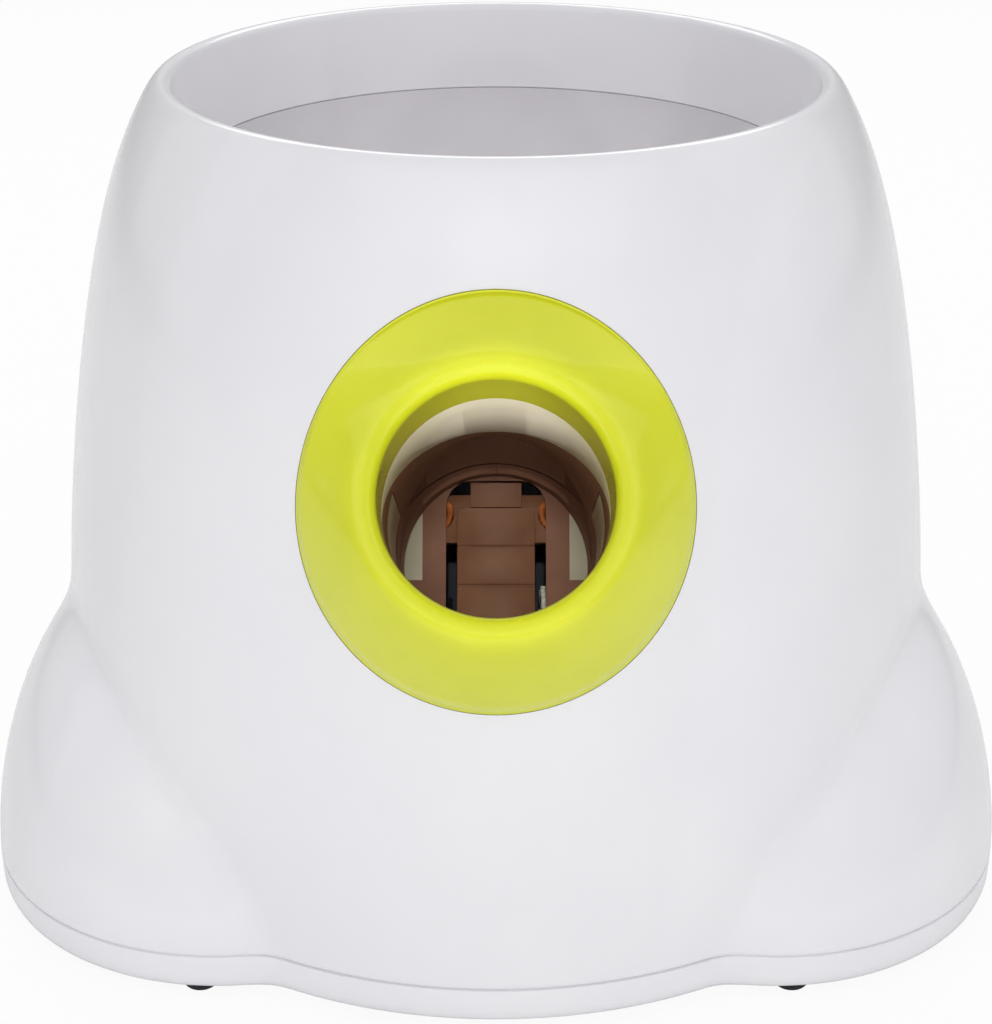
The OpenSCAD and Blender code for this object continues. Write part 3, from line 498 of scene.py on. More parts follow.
# Charcoal glass-filled nylon of the brackets and the battery box: a dry, sparkly grain.
darkPlastic = mouldedFinish("nylon_charcoal", {
    "colour": "#3E4045", "deep": "#33353A", "driftSize": 14,
    "grainSize": 0.5, "bump": 0.3, "bumpDepth": 0.06,
    "roughness": 0.5, "roughSpread": 0.15, "ior": 1.53,
})
# Acetal gears: waxy off-white that light sinks into.
gearCream = mouldedFinish("acetal_cream", {
    "colour": "#E6E1D0", "deep": "#DAD4C0", "driftSize": 9,
    "grainSize": 0.8, "bump": 0.1, "bumpDepth": 0.04,
    "roughness": 0.38, "roughSpread": 0.12, "ior": 1.48, "subsurface": 0.15,
})
# Light grey ABS of the control panel, spark-eroded to a fine matt.
panelGrey = mouldedFinish("ABS_matt_grey", {
    "colour": "#D3D5D9", "deep": "#CACCD1", "driftSize": 26,
    "grainSize": 0.45, "bump": 0.35, "bumpDepth": 0.05,
    "roughness": 0.42, "roughSpread": 0.1, "ior": 1.53,
})
# Button caps in a darker grey, smoothed by fingers.
buttonGrey = mouldedFinish("ABS_button_grey", {
    "colour": "#666A71", "deep": "#5B5F66", "driftSize": 10,
    "grainSize": 0.6, "bump": 0.15, "bumpDepth": 0.04,
    "roughness": 0.3, "roughSpread": 0.2, "ior": 1.53,
})
# Water-green acrylic light pipes.
lensGreen = mouldedFinish("acrylic_green_lens", {
    "colour": "#7FCB80", "deep": "#6FBD72", "driftSize": 3,
    "grainSize": 0.6, "bump": 0.05, "bumpDepth": 0.03,
    "roughness": 0.06, "roughSpread": 0.04, "ior": 1.49, "coat": 0.5, "subsurface": 0.3,
})
# Solder-masked glass-epoxy board: green lacquer over a woven base.
boardGreen = mouldedFinish("glass_epoxy_green", {
    "colour": "#2F6B43", "deep": "#275C39", "driftSize": 12,
    "grainSize": 0.7, "bump": 0.25, "bumpDepth": 0.04,
    "roughness": 0.28, "roughSpread": 0.1, "ior": 1.55,
})
# Black rubber feet: dull, faintly dusty.
footRubber = mouldedFinish("rubber_black", {
    "colour": "#232326", "deep": "#17171A", "driftSize": 3,
    "grainSize": 0.4, "bump": 0.5, "bumpDepth": 0.08,
    "roughness": 0.62, "roughSpread": 0.2, "ior": 1.52,
})
# Black ABS of the power inlet and the switches.
blackPlastic = mouldedFinish("ABS_black", {
    "colour": "#27282B", "deep": "#1D1E20", "driftSize": 8,
    "grainSize": 0.6, "bump": 0.15, "bumpDepth": 0.04,
    "roughness": 0.32, "roughSpread": 0.15, "ior": 1.53,
})
# Zinc-plated steel of screws, rods and shafts: drawn along its length.
steelZinc = metalFinish("steel_zinc", {
    "colour": "#C3C6CA", "deep": "#AEB1B6", "lineSize": (0.25, 0.25, 6), "roughness": 0.22,
})
# Copper-washed music wire of the springs.
springCopper = metalFinish("wire_copper_washed", {
    "colour": "#D07A44", "deep": "#B9622F", "lineSize": (0.3, 0.3, 0.3), "roughness": 0.24,
})
# Machined brass of the motor's pinion.
pinionBrass = metalFinish("brass_machined", {
    "colour": "#CFAE62", "deep": "#B8964C", "lineSize": (0.15, 2, 2), "roughness": 0.25,
})
# Nickel-plated strip of the battery contacts.
contactNickel = metalFinish("nickel_plate", {
    "colour": "#D6D2C4", "deep": "#C4BFAF", "lineSize": (0.2, 5, 5), "roughness": 0.2,
})
# C cells: a slate sleeve with a copper band under the steel end.
cellSleeve = sleeveFinish("cell_sleeve", {
    "low": 7.0, "high": 58.0, "roughness": 0.25,
    "bands": ((7.0, "#B9BCC0"), (8.6, "#2E3946"), (45.0, "#C07F45"), (54.6, "#B9BCC0")),
})
print("finishes mixed")


def dressed(piece, finish, bodyName, replaced, smoothAngle=32):
    settled(piece)
    piece.data.materials.clear()
    piece.data.materials.append(finish)
    for face in piece.data.polygons:
        face.material_index = 0
    selectOnly(piece)
    bpy.ops.object.shade_smooth_by_angle(angle=math.radians(smoothAngle))
    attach(piece, bodyName)
    if replaced:
        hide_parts(*replaced)
    return piece


# camera, light and stage

camera = {"place": (0, -0.58525, 0.3567), "pitch": 24.6, "lens": 75.2}
bpy.ops.object.camera_add(
    location=camera["place"], rotation=(math.radians(90 - camera["pitch"]), 0, 0),
)
eye = bpy.context.active_object
eye.name = "studio_camera"
eye.data.lens = camera["lens"]
eye.data.sensor_width = 36
eye.data.clip_end = 20
bpy.context.scene.camera = eye
bpy.context.scene.view_settings.view_transform = "Standard"

studio = {
    "target": (0, 0, 0.11),
    "lamps": [
        # place, size across, size up, watts, seen in reflections
        ((0, -0.95, 1.15), 1.9, 1.0, 2.2, True),
        ((0, -0.95, 1.15), 1.9, 1.0, 6.4, False),
        ((-1.25, 0.25, 0.75), 1.2, 1.4, 1.3, True),
        ((1.25, 0.25, 0.75), 1.2, 1.4, 1.3, True),
        ((0, 1.0, 1.3), 1.6, 0.6, 9.0, True),
        ((0, -1.06, 0.73), 0.5, 0.4, 2.4, False),
        ((0, -1.2, 0.2), 1.2, 0.3, 2.2, False),
    ],
    "snoots": [
        # place, degrees across, watts: they reach into the muzzle, where the softboxes don't
        ((0, -1.06, 0.73), 3.0, 28.0),
        ((0, -1.2, 0.04), 2.5, 44.0),
    ],
    "muzzle": (0, -0.127, 0.151),
    "snootBlend": 0.35,
    "snootR": 0.012,
    "world": 0.44,
    "floorGlow": 0.92,
}


def lampAt(kind, name, place, target, watts, mirrored):
    bpy.ops.object.light_add(type=kind, location=place)
    lamp = bpy.context.active_object
    lamp.name = name
    lamp.data.energy = watts
    lamp.visible_glossy = mirrored
    aim = Vector(target) - Vector(place)
    lamp.rotation_euler = aim.to_track_quat("-Z", "Y").to_euler()
    return lamp


for number, (place, across, up, watts, mirrored) in enumerate(studio["lamps"], 1):
    lamp = lampAt("AREA", f"softbox_{number}", place, studio["target"], watts, mirrored)
    lamp.data.shape = "RECTANGLE"
    lamp.data.size = across
    lamp.data.size_y = up

for number, (place, cone, watts) in enumerate(studio["snoots"], 1):
    lamp = lampAt("SPOT", f"snoot_{number}", place, studio["muzzle"], watts, False)
    lamp.data.spot_size = math.radians(cone)
    lamp.data.spot_blend = studio["snootBlend"]
    lamp.data.shadow_soft_size = studio["snootR"]

world = bpy.data.worlds.new("studio_air")
bpy.context.scene.world = world
world.use_nodes = True
tree = world.node_tree
tree.nodes.clear()
seen = seenStraight(tree)
level = addNode(
    tree, "ShaderNodeMapRange", {"To Min": studio["world"], "To Max": 1.0},
    {"Value": seen.outputs["Value"]},
)
air = addNode(
    tree, "ShaderNodeBackground", {"Color": (1, 1, 1, 1)}, {"Strength": level.outputs["Result"]},
)
addNode(tree, "ShaderNodeOutputWorld", links={"Surface": air.outputs["Background"]})

# uncoated paper, which shows as its own light to the camera, so that the ground stays white
floorFinish, tree = newFinish("paper_white")
seen = seenStraight(tree)
share = addNode(tree, "ShaderNodeMath", {"operation": "MULTIPLY"}, {0: seen.outputs["Value"]})
share.inputs[1].default_value = studio["floorGlow"]
paper = addNode(tree, "ShaderNodeBsdfDiffuse", {"Color": linear("#F2F2F2")})
glow = addNode(tree, "ShaderNodeEmission", {"Color": (1, 1, 1, 1), "Strength": 1.0})
blend = addNode(
    tree, "ShaderNodeMixShader",
    links={"Fac": share.outputs["Value"], 1: paper.outputs["BSDF"], 2: glow.outputs["Emission"]},
)
# the paper is clear from below, so that the underside can be looked at through it
sides = addNode(tree, "ShaderNodeNewGeometry")
clear = addNode(tree, "ShaderNodeBsdfTransparent")
oneWay = addNode(
    tree, "ShaderNodeMixShader",
    links={"Fac": sides.outputs["Backfacing"], 1: blend.outputs["Shader"], 2: clear.outputs["BSDF"]},
)
addNode(tree, "ShaderNodeOutputMaterial", links={"Surface": oneWay.outputs["Shader"]})

bpy.ops.mesh.primitive_plane_add(size=2)
floor = named("paper_sweep")
floor.scale = (4, 4, 1)
settled(floor)
pickVerts(floor, lambda co: co.y > 3.9)
inEdit(
    floor,
    (bpy.ops.mesh.extrude_region_move, {"TRANSFORM_OT_translate": {"value": (0, 0, 3)}}),
)
floor.data.materials.append(floorFinish)
print("studio set")

# upper shell: outer wall, rolled rim, hopper skirt and inner wall in one closed skin

shell = {
    "around": 384,
    "lowRows": 60,          # rows up the lobes, where the crease needs them
    "highRows": 38,
    "rimZ": 219.5,          # where the wall leaves the barrel's curve for the rim
    "innerRows": 36,
    "edgeRound": 0.5,
    "panelZ": 140.0,
    "panelW": 60.0,
    "panelH": 26.0,
    "jackZ": 34.0,
    "jackR": 5.5,
    "gap": 0.3,
    "ringR": 48.3,
    "ringDrop": 2.0,
    "ringGap": 0.12,
    "skirtRows": 8,
    "innerTop": 215.0,
}
shellLow = body["seamZ"] + body["seamGap"] / 2
trayTop = body["seamZ"] - body["seamGap"] / 2


def rimCurve():
    # a soft quadratic bend from the barrel's wall to the crest, then a quarter round into the hopper
    low = (barrelR(shell["rimZ"]), shell["rimZ"])
    slope = (barrelR(shell["rimZ"] + 0.1) - barrelR(shell["rimZ"])) / 0.1
    knee = (low[0] + slope * (body["height"] - shell["rimZ"]), body["height"])
    crest = (body["crestR"], body["height"])
    bend = [
        tuple((1 - t) ** 2 * a + 2 * t * (1 - t) * b + t ** 2 * c for a, b, c in zip(low, knee, crest))
        for t in spread(0, 1, 9)[1:]
    ]
    roll = [
        (body["crestR"] + body["crestRound"] * math.cos(math.radians(t)),
         body["height"] - body["crestRound"] * (1 - math.sin(math.radians(t))))
        for t in spread(90, 180, 8)[1:]
    ]
    return bend + roll


def shellSection(angle):
    edge = shell["edgeRound"]
    lowR = bodyR(angle, shellLow)
    rows = [(lowR - edge, shellLow), (lowR - edge * 0.3, shellLow + edge * 0.3)]
    rows += [(bodyR(angle, z), z) for z in spread(shellLow + edge, body["lobeH"], shell["lowRows"])]
    rows += [(bodyR(angle, z), z) for z in spread(body["lobeH"], shell["rimZ"], shell["highRows"])[1:]]
    rows += rimCurve()
    skirtTop = (body["crestR"] - body["crestRound"], body["height"] - body["crestRound"])
    skirtLow = (body["bowlR"] + shell["gap"], body["skirtZ"])
    for t in spread(0, 1, shell["skirtRows"])[1:-1]:
        rows.append(tuple(a + (b - a) * t for a, b in zip(skirtTop, skirtLow)))
    rows += [(skirtLow[0] + 0.1, skirtLow[1] + 0.3), (skirtLow[0] + 0.4, skirtLow[1])]
    rows += [(skirtLow[0] + body["wall"], skirtLow[1])]
    rows += [(skirtTop[0] + body["wall"] - 0.4, body["height"] - 8)]
    inside = spread(shell["innerTop"], shellLow, shell["innerRows"])
    rows += [(bodyR(angle, z) - body["wall"], z) for z in inside]
    return rows


upperShell = bodySkin("upper_shell_gloss", shell["around"], shellSection)
hole = rod(shell["ringR"] + shell["ringGap"], 100, onAxis() @ shifted(0, -shell["ringDrop"], -60), 256)
cut(upperShell, hole)


def stadium(width, height, depth, place):
    # a slab with round ends: a cylinder whose two sides are drawn apart
    bpy.ops.mesh.primitive_cylinder_add(vertices=96, radius=height / 2 * mm, depth=depth * mm)
    piece = bpy.context.active_object
    reach = (width - height) / 2 * mm
    for vert in piece.data.vertices:
        vert.co.x += math.copysign(reach, vert.co.x) if abs(vert.co.x) > 0.01 * mm else 0
        vert.co.z += depth / 2 * mm
    piece.matrix_world = place
    return piece


panelPlace = alongY(0, barrelR(shell["panelZ"]) - 30, shell["panelZ"])
grown = 2 * shell["gap"]
cut(upperShell, stadium(shell["panelW"] + grown, shell["panelH"] + grown, 60, panelPlace))
rearFace = body["lobeReach"] + body["lobeR"]
cut(upperShell, rod(shell["jackR"] + shell["gap"], 40, alongY(0, rearFace - 20, shell["jackZ"]), 64))
dressed(upperShell, shellWhite, "housing", ["upper_shell"], 40)
print("upper shell turned")

# muzzle ring: a trumpet whose edge follows the barrel

ring = {
    "around": 256,
    "edgeR": 48.3,
    "drop": 2.0,
    "thick": 2.6,
    "lipRound": 5.0,
    "lipStart": 4.0,
    "flarePower": 1.35,
    "flareRows": 18,
    "lipRows": 14,
}


def faceDepth(x, v):
    depth = 0.0
    for _ in range(10):
        z = axisPoint(depth, v)[1]
        depth = (axis["muzzleY"] - math.sqrt(barrelR(z) ** 2 - x * x) - axisSin * v) / axisCos
    return depth


def ringSection(angle):
    edgeX = ring["edgeR"] * math.cos(angle)
    edgeV = ring["edgeR"] * math.sin(angle) - ring["drop"]
    edgeR = math.hypot(edgeX, edgeV)
    edgeS = faceDepth(edgeX, edgeV) - 0.6
    crownR = axis["boreR"] + ring["lipRound"]

    def flare(t):
        rise = ring["lipRound"] * (1 - t) * 0.2
        return crownR + (edgeR - crownR) * t, edgeS * t ** ring["flarePower"] - rise

    rows = [(axis["boreR"], s) for s in spread(axis["front"] - 0.3, ring["lipStart"], 6)[:-1]]
    for t in spread(0, 86, ring["lipRows"]):
        turn = math.radians(t)
        out = ring["lipRound"] * (1 - math.cos(turn))
        rows.append((axis["boreR"] + out, ring["lipStart"] - ring["lipRound"] * math.sin(turn)))
    rows += [flare(t) for t in spread(0, 1, ring["flareRows"])[1:-1]]
    rows += [(edgeR - 0.7, flare(0.985)[1]), (edgeR - 0.25, edgeS + 0.12), (edgeR, edgeS + 0.6)]
    backS = edgeS + ring["thick"] + 1.4
    rows += [(edgeR, backS), (edgeR - 1.6, backS)]
    rows += [(flare(t)[0] - 0.4, flare(t)[1] + ring["thick"] + 0.6) for t in (0.75, 0.5, 0.25)]
    rows += [(tubeR, 6.0), (tubeR, axis["front"] - 0.3)]
    return rows, edgeX / edgeR, edgeV / edgeR


sections = []
for i in range(ring["around"]):
    rows, wayX, wayV = ringSection(2 * math.pi * i / ring["around"])
    sections.append([Vector((r * wayX, r * wayV, -s)) * mm for r, s in rows])
muzzleRing = loopSkin("muzzle_ring_gloss", sections)
muzzleRing.matrix_world = onAxis()
dressed(muzzleRing, ringLime, "housing", ["muzzle_ring"], 50)
print("muzzle ring turned")

# hopper: a smooth bowl in two halves that meet on the middle plane

hopper = {
    "throatR": 29.0,
    "throatZ": 138.0,
    "throatLow": 80.0,
    "wall": 2.2,
    "power": 1.25,
    "flange": 4.0,
    "split": 0.09,
    "paintedShadeTop": 133.0,
    "around": 256,
}
bowlTop = body["skirtZ"] - 0.12


def bowlPoint(turn):
    out = math.cos(math.radians(turn)) ** hopper["power"] if turn < 90 else 0.0
    down = math.sin(math.radians(turn)) ** hopper["power"]
    return (
        hopper["throatR"] + (body["bowlR"] - hopper["throatR"]) * out,
        bowlTop - (bowlTop - hopper["throatZ"]) * down,
    )


inner = [bowlPoint(t) for t in spread(0, 90, 30)]
outer = []
for i in range(1, len(inner) - 1):
    step = (inner[i + 1][0] - inner[i - 1][0], inner[i + 1][1] - inner[i - 1][1])
    size = math.hypot(*step)
    out, up = -step[1] / size * hopper["wall"], step[0] / size * hopper["wall"]
    outer.append((inner[i][0] + out, inner[i][1] + up))
flangeR = body["bowlR"] + hopper["flange"]
throatOuterR = hopper["throatR"] + hopper["wall"]
bowlProfile = [(flangeR, bowlTop - hopper["wall"]), (flangeR, bowlTop)] + inner
bowlProfile += [(hopper["throatR"], 110), (hopper["throatR"], hopper["throatLow"])]
bowlProfile += [(throatOuterR, hopper["throatLow"]), (throatOuterR, hopper["throatZ"] - 2)]
bowlProfile += list(reversed(outer[:-1]))
for side, word in ((-1, "left"), (1, "right")):
    half = turned(f"hopper_{word}_smooth", bowlProfile, upright(0, 0, 0), hopper["around"])
    inEdit(
        half,
        (bpy.ops.mesh.select_all, {"action": "SELECT"}),
        (bpy.ops.mesh.bisect, {
            "plane_co": (side * hopper["split"] * mm, 0, 0), "plane_no": (side, 0, 0),
            "use_fill": True, "clear_inner": True,
        }),
    )
    cut(half, rod(tubeR + 0.3, wallBack + 40, onAxis(wallBack + 40), 128))
    cut(half, block((120, 80, 260), onAxis() @ shifted(0, -32, -130)))
    normalsOut(half)
    dressed(half, bowlWhite, "housing", [f"hopper_{word}"], 40)
    # painted shade: the bowl's own throat below 133 mm takes the tube's smoke-brown finish, as dark as the
    # shaded chute
    half.data.materials.append(tubeSmoke)
    for face in half.data.polygons:
        out = math.hypot(face.center.x / mm, face.center.y / mm - body["axisY"])
        if face.center.z < hopper["paintedShadeTop"] * mm and out < throatOuterR + 0.3:
            face.material_index = 1
print("hopper halves turned")

# launch tube: two smoke halves, a grey hood, and panes of painted light in the side walls

tube = {
    "hoodZ": 133.4,
    "windowLen": 46.0,
    "windowH": 18.0,
    "windowS": 58.0,
    "slotHalfW": 15.5,
    "slotCorner": 8.0,
    "slotTop": 27.0,
    "slotLow": -22.0,
    "lugs": (50.0, 150.0),
    "lugHole": 1.58,
    "sides": 160,
}
striker = {
    "rodX": 18.5,
    "rodV": 17.0,
    "rodR": 2.0,
    "coilR": 4.4,
    "wireR": 0.6,
    "turns": 11,
    "stroke": 30.0,
    "earGap": 0.5,
}
throatLow = axis["muzzleZ"] - axis["muzzleY"] * math.tan(math.radians(axis["angle"]))


def arch(name, halfW, low, top, corner, depth, place):
    # a slot's shape with two round upper corners, from a bevelled block
    bpy.ops.mesh.primitive_cube_add(size=1)
    piece = named(name)
    piece.scale = (2 * halfW * mm, (top - low) * mm, depth * mm)
    piece.location = (0, (top + low) / 2 * mm, depth / 2 * mm)
    settled(piece)
    selectOnly(piece)
    bpy.ops.object.mode_set(mode="EDIT")
    bpy.ops.mesh.select_mode(type="EDGE")
    bpy.ops.mesh.select_all(action="DESELECT")
    bpy.ops.object.mode_set(mode="OBJECT")
    for edge in piece.data.edges:
        ends = [piece.data.vertices[v].co for v in edge.vertices]
        edge.select = all(co.y > (top - 0.1) * mm for co in ends) and abs(ends[0].x - ends[1].x) < 0.1 * mm
    inEdit(piece, (bpy.ops.mesh.bevel, {"offset": corner * mm, "segments": 12, "affect": "EDGES"}))
    piece.matrix_world = place
    return piece


def tubeSolid(name, inside=True):
    piece = rod(tubeR, wallBack - axis["front"], onAxis(wallBack), tube["sides"])
    piece.name = name
    depth = axis["breech"] if inside else wallBack + 1
    cut(piece, rod(axis["boreR"], depth, onAxis(depth), tube["sides"]))
    return piece


windowMid = onAxis(tube["windowS"] + tube["windowLen"] / 2)
for side, word in ((-1, "left"), (1, "right")):
    half = tubeSolid(f"tube_{word}_smoke")
    lugs = [block((8, 14, 16), onAxis(s) @ shifted(0, -tubeR - 4, 0)) for s in tube["lugs"]]
    for lug in lugs:
        applied(lug, "BEVEL", width=0.6 * mm, segments=2)
        cut(half, lug, "UNION")
    cut(half, rod(axis["boreR"], axis["breech"], onAxis(axis["breech"]), tube["sides"]))
    cut(half, rod(hopper["throatR"], 200, upright(0, 0, throatLow), tube["sides"]))
    cut(half, arch(
        "slot_cut", tube["slotHalfW"], tube["slotLow"], tube["slotTop"], tube["slotCorner"],
        axis["breechT"] + 2, onAxis(wallBack + 1),
    ))
    for x in (-striker["rodX"], striker["rodX"]):
        bore = onAxis(wallBack + 1) @ shifted(x, striker["rodV"], 0)
        cut(half, rod(striker["rodR"] + 0.02, axis["breechT"] + 0.75, bore, 32))
    for s in tube["lugs"]:
        across = onAxis(s) @ shifted(-20, -tubeR - 7, 0) @ Matrix.Rotation(math.radians(90), 4, "Y")
        cut(half, rod(tube["lugHole"], 40, across, 24))
    windowPlace = windowMid @ shifted(side * tubeR, 0, 0)
    cut(half, block((tubeR, tube["windowH"], tube["windowLen"]), windowPlace))
    keep = block((60, 320, tube["hoodZ"]), upright(side * 30.05, 0, tube["hoodZ"] / 2))
    cut(half, keep, "INTERSECT")
    edged(half, 0.18)
    dressed(half, tubeSmoke, "housing", [f"tube_{word}"], 35)
    # the pane's grey-green is painted light, standing for the side wall lit from the muzzle
    window = tubeSolid(f"ir_window_{word}_painted_light_pane", inside=False)
    glass = (tubeR - 0.3, tube["windowH"] - 0.6, tube["windowLen"] - 0.6)
    cut(window, block(glass, windowPlace), "INTERSECT")
    edged(window, 0.25)
    dressed(window, paintedLightGreyGreen, "housing", [f"ir_window_{word}"], 35)

hood = tubeSolid("tube_hood_grey", inside=False)
cut(hood, block((120, 128, 60), upright(0, -96, tube["hoodZ"] + 0.3 + 30)), "INTERSECT")
edged(hood, 0.25)
dressed(hood, hoodGrey, "housing", ["tube_hood"], 35)
print("launch tube cut")

# thin panes of painted light on the breech wall beside the slot: the same grey-green, standing for the side
# walls lit from the muzzle
pane = {"inner": 22.8, "low": -4.0, "high": 16.6, "thick": 0.4}
for side, word in ((-1, "left"), (1, "right")):
    middle = (side * (tubeR + pane["inner"]) / 2, (pane["high"] + pane["low"]) / 2, pane["thick"] / 2)
    strip = block(
        (tubeR - pane["inner"], pane["high"] - pane["low"], pane["thick"]),
        onAxis(axis["breech"]) @ shifted(*middle),
    )
    strip.name = f"sensor_pane_{word}"
    cut(strip, rod(axis["boreR"] - 0.05, 10, onAxis(axis["breech"] + 5), 160), "INTERSECT")
    edged(strip, 0.12)
    dressed(strip, paintedLightGreyGreen, "housing", [], 35)
print("panes set")

# striker: the plate that hits the ball, its carriage, and the springs behind


def fromFrame(nodeName, name, width):
    # a machined copy of a CAD node: triangles merged back to flat faces, every sharp edge broken
    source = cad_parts[nodeName]
    piece = bpy.data.objects.new(name, source.data.copy())
    bpy.context.scene.collection.objects.link(piece)
    inEdit(
        piece,
        (bpy.ops.mesh.select_all, {"action": "SELECT"}),
        (bpy.ops.mesh.remove_doubles, {"threshold": 0.000002}),
        (bpy.ops.mesh.dissolve_limited, {"angle_limit": math.radians(0.5)}),
        (bpy.ops.mesh.normals_make_consistent, {"inside": False}),
    )
    return edged(piece, width, 38)


brokenEdges = {
    # node: (piece, edge round, finish, body, slot)
    "striker_face": ("striker_face_rounded", 0.7, strikerBrown, "striker", "striker_brown"),
    "striker_carriage": ("striker_carriage_moulded", 0.3, strikerBrown, "striker", "striker_brown"),
    "spring_bracket": ("spring_bracket_moulded", 0.5, darkPlastic, "housing", "dark_plastic"),
    "tube_cradle": ("tube_cradle_moulded", 0.6, darkPlastic, "housing", "dark_plastic"),
    "battery_box": ("battery_box_moulded", 0.8, darkPlastic, "housing", "dark_plastic"),
    "battery_door": ("battery_door_moulded", 0.5, shellWhite, "door", "shell_white"),
    "control_panel": ("control_panel_moulded", 0.35, panelGrey, "housing", "panel_grey"),
    "power_button": ("power_button_domed", 0.8, buttonGrey, "power_key", "button_grey"),
    "distance_button": ("distance_button_domed", 0.8, buttonGrey, "distance_key", "button_grey"),
    "dc_jack": ("power_inlet_moulded", 0.3, blackPlastic, "housing", "dark_plastic"),
}
for nodeName, (name, width, finish, bodyName, slot) in brokenEdges.items():
    dressed(fromFrame(nodeName, name, width), finish, bodyName, [nodeName], 35)
print("moulded parts edged")

spring = {"front": 171.8, "back": 229.7, "closedTurns": 1.2, "closedPitch": 1.3, "steps": 28}
springLen = spring["back"] - spring["front"]
seatProfile = [(2.4, 0.05), (5.3, 0.05), (5.45, 0.15), (5.45, 0.3), (5.3, 0.38), (2.9, 0.38), (2.4, 0.2)]
for x, word in ((-striker["rodX"], "left"), (striker["rodX"], "right")):
    low, high = striker["wireR"], springLen - striker["wireR"]
    ends = spring["closedTurns"]
    rise = (high - low - 2 * ends * spring["closedPitch"]) / (striker["turns"] - 2 * ends)
    wire = bpy.data.curves.new(f"spring_{word}_wire", "CURVE")
    wire.dimensions = "3D"
    wire.bevel_depth = striker["wireR"] * mm
    wire.bevel_resolution = 4
    wire.use_fill_caps = True
    run = wire.splines.new("POLY")
    places = spread(0, striker["turns"], striker["turns"] * spring["steps"])
    run.points.add(len(places) - 1)
    for point, turn in zip(run.points, places):
        first, last = min(turn, ends), max(0.0, turn - (striker["turns"] - ends))
        height = low + (first + last) * spring["closedPitch"] + (turn - first - last) * rise
        around = 2 * math.pi * turn
        spot = (striker["coilR"] * math.cos(around), striker["coilR"] * math.sin(around), height)
        point.co = (*(Vector(spot) * mm), 1)
    piece = bpy.data.objects.new(f"spring_{word}_wire", wire)
    bpy.context.scene.collection.objects.link(piece)
    piece.matrix_world = onAxis(spring["back"]) @ shifted(x, striker["rodV"], 0)
    selectOnly(piece)
    bpy.ops.object.convert(target="MESH")
    piece = named(f"spring_{word}_coil")
    dressed(piece, springCopper, "housing", [f"spring_{word}"], 60)
    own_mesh(piece)
    # the spring's seat: a copper-washed cup whose flange lies on the front of the carriage's ear
    seat = onAxis(wallBack + striker["earGap"]) @ shifted(x, striker["rodV"], 0)
    cup = turned(f"spring_seat_{word}", seatProfile, seat, 72)
    dressed(cup, springCopper, "striker", [], 40)
print("springs wound")

# base tray, feet and screws

tray = {
    "low": 4.0,
    "floor": 6.6,
    "inset": 3.2,
    "roundZ": 9.5,
    "inner": 4.4,
    "lipIn": 0.9,
    "tongueIn": 3.0,
    "tongueTop": 18.1,
    "around": 384,
    "stemR": 2.35,
    "headR": 2.8,
    "screwR": 1.5,
    "bossReach": 120.5,
    "screwAngles": (255.0, 285.0, 150.0, 30.0),
    "gap": 0.3,
}


def traySection(angle):
    edge = bodyR(angle, trayTop)
    rows = [(0.0, tray["low"]), (edge * 0.5, tray["low"]), (edge - tray["inset"] - 2, tray["low"])]
    for t in spread(0, 90, 8):
        turn = math.radians(t)
        rows.append((edge - tray["inset"] * (1 - math.sin(turn)),
                     tray["low"] + (tray["roundZ"] - tray["low"]) * (1 - math.cos(turn))))
    rows += [(edge, trayTop - 0.6), (edge - 0.15, trayTop - 0.15), (edge - 0.6, trayTop)]
    rows += [(edge - tray["lipIn"], trayTop), (edge - tray["lipIn"], shellLow - 0.05)]
    rows += [(edge - tray["tongueIn"], shellLow - 0.05), (edge - tray["tongueIn"], tray["tongueTop"])]
    rows += [(edge - tray["inner"], tray["tongueTop"]), (edge - tray["inner"], tray["floor"])]
    rows += [(edge * 0.5, tray["floor"]), (0.0, tray["floor"])]
    return rows


baseTray = bodySkin("base_tray_gloss", tray["around"], traySection)
doorLow, doorHigh = [Vector(corner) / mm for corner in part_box("battery_door")]
footSpots = []
for n in range(1, 7):
    footLow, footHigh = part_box(f"foot_{n}")
    footSpots.append((Vector(footLow) + Vector(footHigh)) / 2 / mm)
screwSpots = [
    (tray["bossReach"] * math.cos(math.radians(a)), tray["bossReach"] * math.sin(math.radians(a)))
    for a in tray["screwAngles"]
]
door = {
    "pin": 3.0,
    "pinR": 1.0,
    "pinGap": 0.06,
    "hingeY": -108.4,
    "hingeZ": 5.6,
    "bearing": (4.4, 6.0, 2.4),
}
doorHalf = doorHigh.x - door["pin"]
for side in (-1, 1):
    bearing = upright(side * (doorHalf + 2.7), door["hingeY"], tray["floor"] + 1.0)
    cut(baseTray, block(door["bearing"], bearing), "UNION")
opening = (2 * (doorHalf + tray["gap"]), doorHigh.y - doorLow.y + 2 * tray["gap"], 10)
cut(baseTray, block(opening, shifted(0, (doorHigh.y + doorLow.y) / 2, tray["low"])))
pinLine = alongX(-doorHigh.x - door["pinGap"], door["hingeY"], door["hingeZ"])
cut(baseTray, rod(door["pinR"] + door["pinGap"], 2 * (doorHigh.x + door["pinGap"]), pinLine, 24))
for spot in footSpots:
    cut(baseTray, rod(tray["stemR"] + 0.08, 6, shifted(spot.x, spot.y, tray["low"] - 1), 48))
for x, y in screwSpots:
    cut(baseTray, rod(tray["screwR"] + tray["gap"], 6, upright(x, y, tray["low"] - 1), 32))
    cut(baseTray, rod(tray["headR"] + tray["gap"], 2.6, upright(x, y, tray["low"] - 1), 48))
dressed(baseTray, shellWhite, "housing", ["base_tray"], 35)

footProfile = [
    (0.0, 0.0), (3.7, 0.0), (4.35, 0.2), (4.62, 0.5), (4.7, 1.0), (4.7, 3.6), (4.55, 4.0),
    (2.35, 4.0), (2.35, 6.8), (3.15, 6.8), (3.0, 7.4), (2.4, 7.8), (0.0, 7.8),
]
for number, spot in enumerate(footSpots, 1):
    pad = turned(f"foot_{number}_pad", footProfile, shifted(spot.x, spot.y, 0), 72)
    dressed(pad, footRubber, "housing", [f"foot_{number}"], 40)

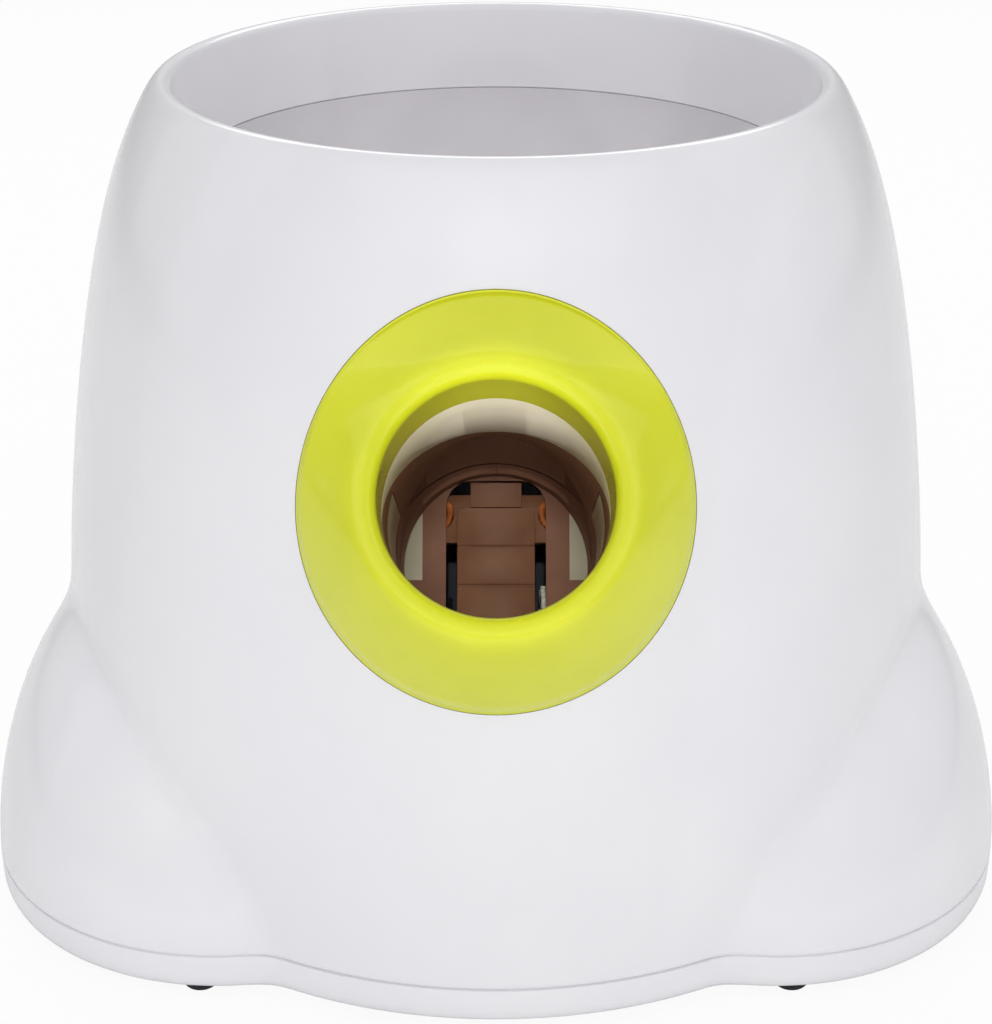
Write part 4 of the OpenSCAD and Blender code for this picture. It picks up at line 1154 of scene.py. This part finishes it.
screwProfile = [
    (0.0, 4.1), (1.9, 4.1), (2.5, 4.35), (2.8, 4.8), (2.8, 5.5), (1.5, 5.5),
    (1.5, 21.2), (0.9, 22.1), (0.0, 22.1),
]
screws = []
for x, y in screwSpots:
    screw = turned("case_screw", screwProfile, upright(x, y, 0), 48)
    for size in ((3.2, 0.7, 1.4), (0.7, 3.2, 1.4)):
        cut(screw, block(size, upright(x, y, 4.1)))
    screws.append(screw)
dressed(joined("case_screws_cross", screws), steelZinc, "housing", ["case_screws"], 35)
print("tray and feet moulded")

# finishes of the CAD nodes that stay

kept = {
    "ir_emitter": darkPlastic,
    "ir_receiver": darkPlastic,
    "tube_cradle": darkPlastic,
    "tube_screws": steelZinc,
    "striker_face": strikerBrown,
    "striker_carriage": strikerBrown,
    "guide_rods": steelZinc,
    "spring_left": springCopper,
    "spring_right": springCopper,
    "spring_bracket": darkPlastic,
    "gear_plate_inner": darkPlastic,
    "gear_plate_outer": darkPlastic,
    "shaft_bracket": darkPlastic,
    "sector_gear": gearCream,
    "output_gear": gearCream,
    "drive_shaft": steelZinc,
    "switch_cam": gearCream,
    "end_switch": blackPlastic,
    "idler_gear": gearCream,
    "idler_shaft": steelZinc,
    "motor": steelZinc,
    "motor_pinion": pinionBrass,
    "battery_box": darkPlastic,
    "battery_contacts": contactNickel,
    "battery_door": shellWhite,
    "control_panel": panelGrey,
    "power_button": buttonGrey,
    "distance_button": buttonGrey,
    "indicator_lenses": lensGreen,
    "control_board": boardGreen,
    "tact_switches": blackPlastic,
    "board_screws": steelZinc,
    "dc_jack": blackPlastic,
    "case_screws": steelZinc,
    "base_tray": shellWhite,
    "tube_left": tubeSmoke,
    "tube_right": tubeSmoke,
    "tube_hood": hoodGrey,
    "upper_shell": shellWhite,
    "muzzle_ring": ringLime,
    "hopper_left": bowlWhite,
    "hopper_right": bowlWhite,
    "ir_window_left": paintedLightGreyGreen,
    "ir_window_right": paintedLightGreyGreen,
}
for number in range(1, 7):
    kept[f"foot_{number}"] = footRubber
    kept[f"cell_{number}"] = cellSleeve
for nodeName, finish in kept.items():
    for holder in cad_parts[nodeName].material_slots:
        holder.material = finish
print("CAD nodes finished")
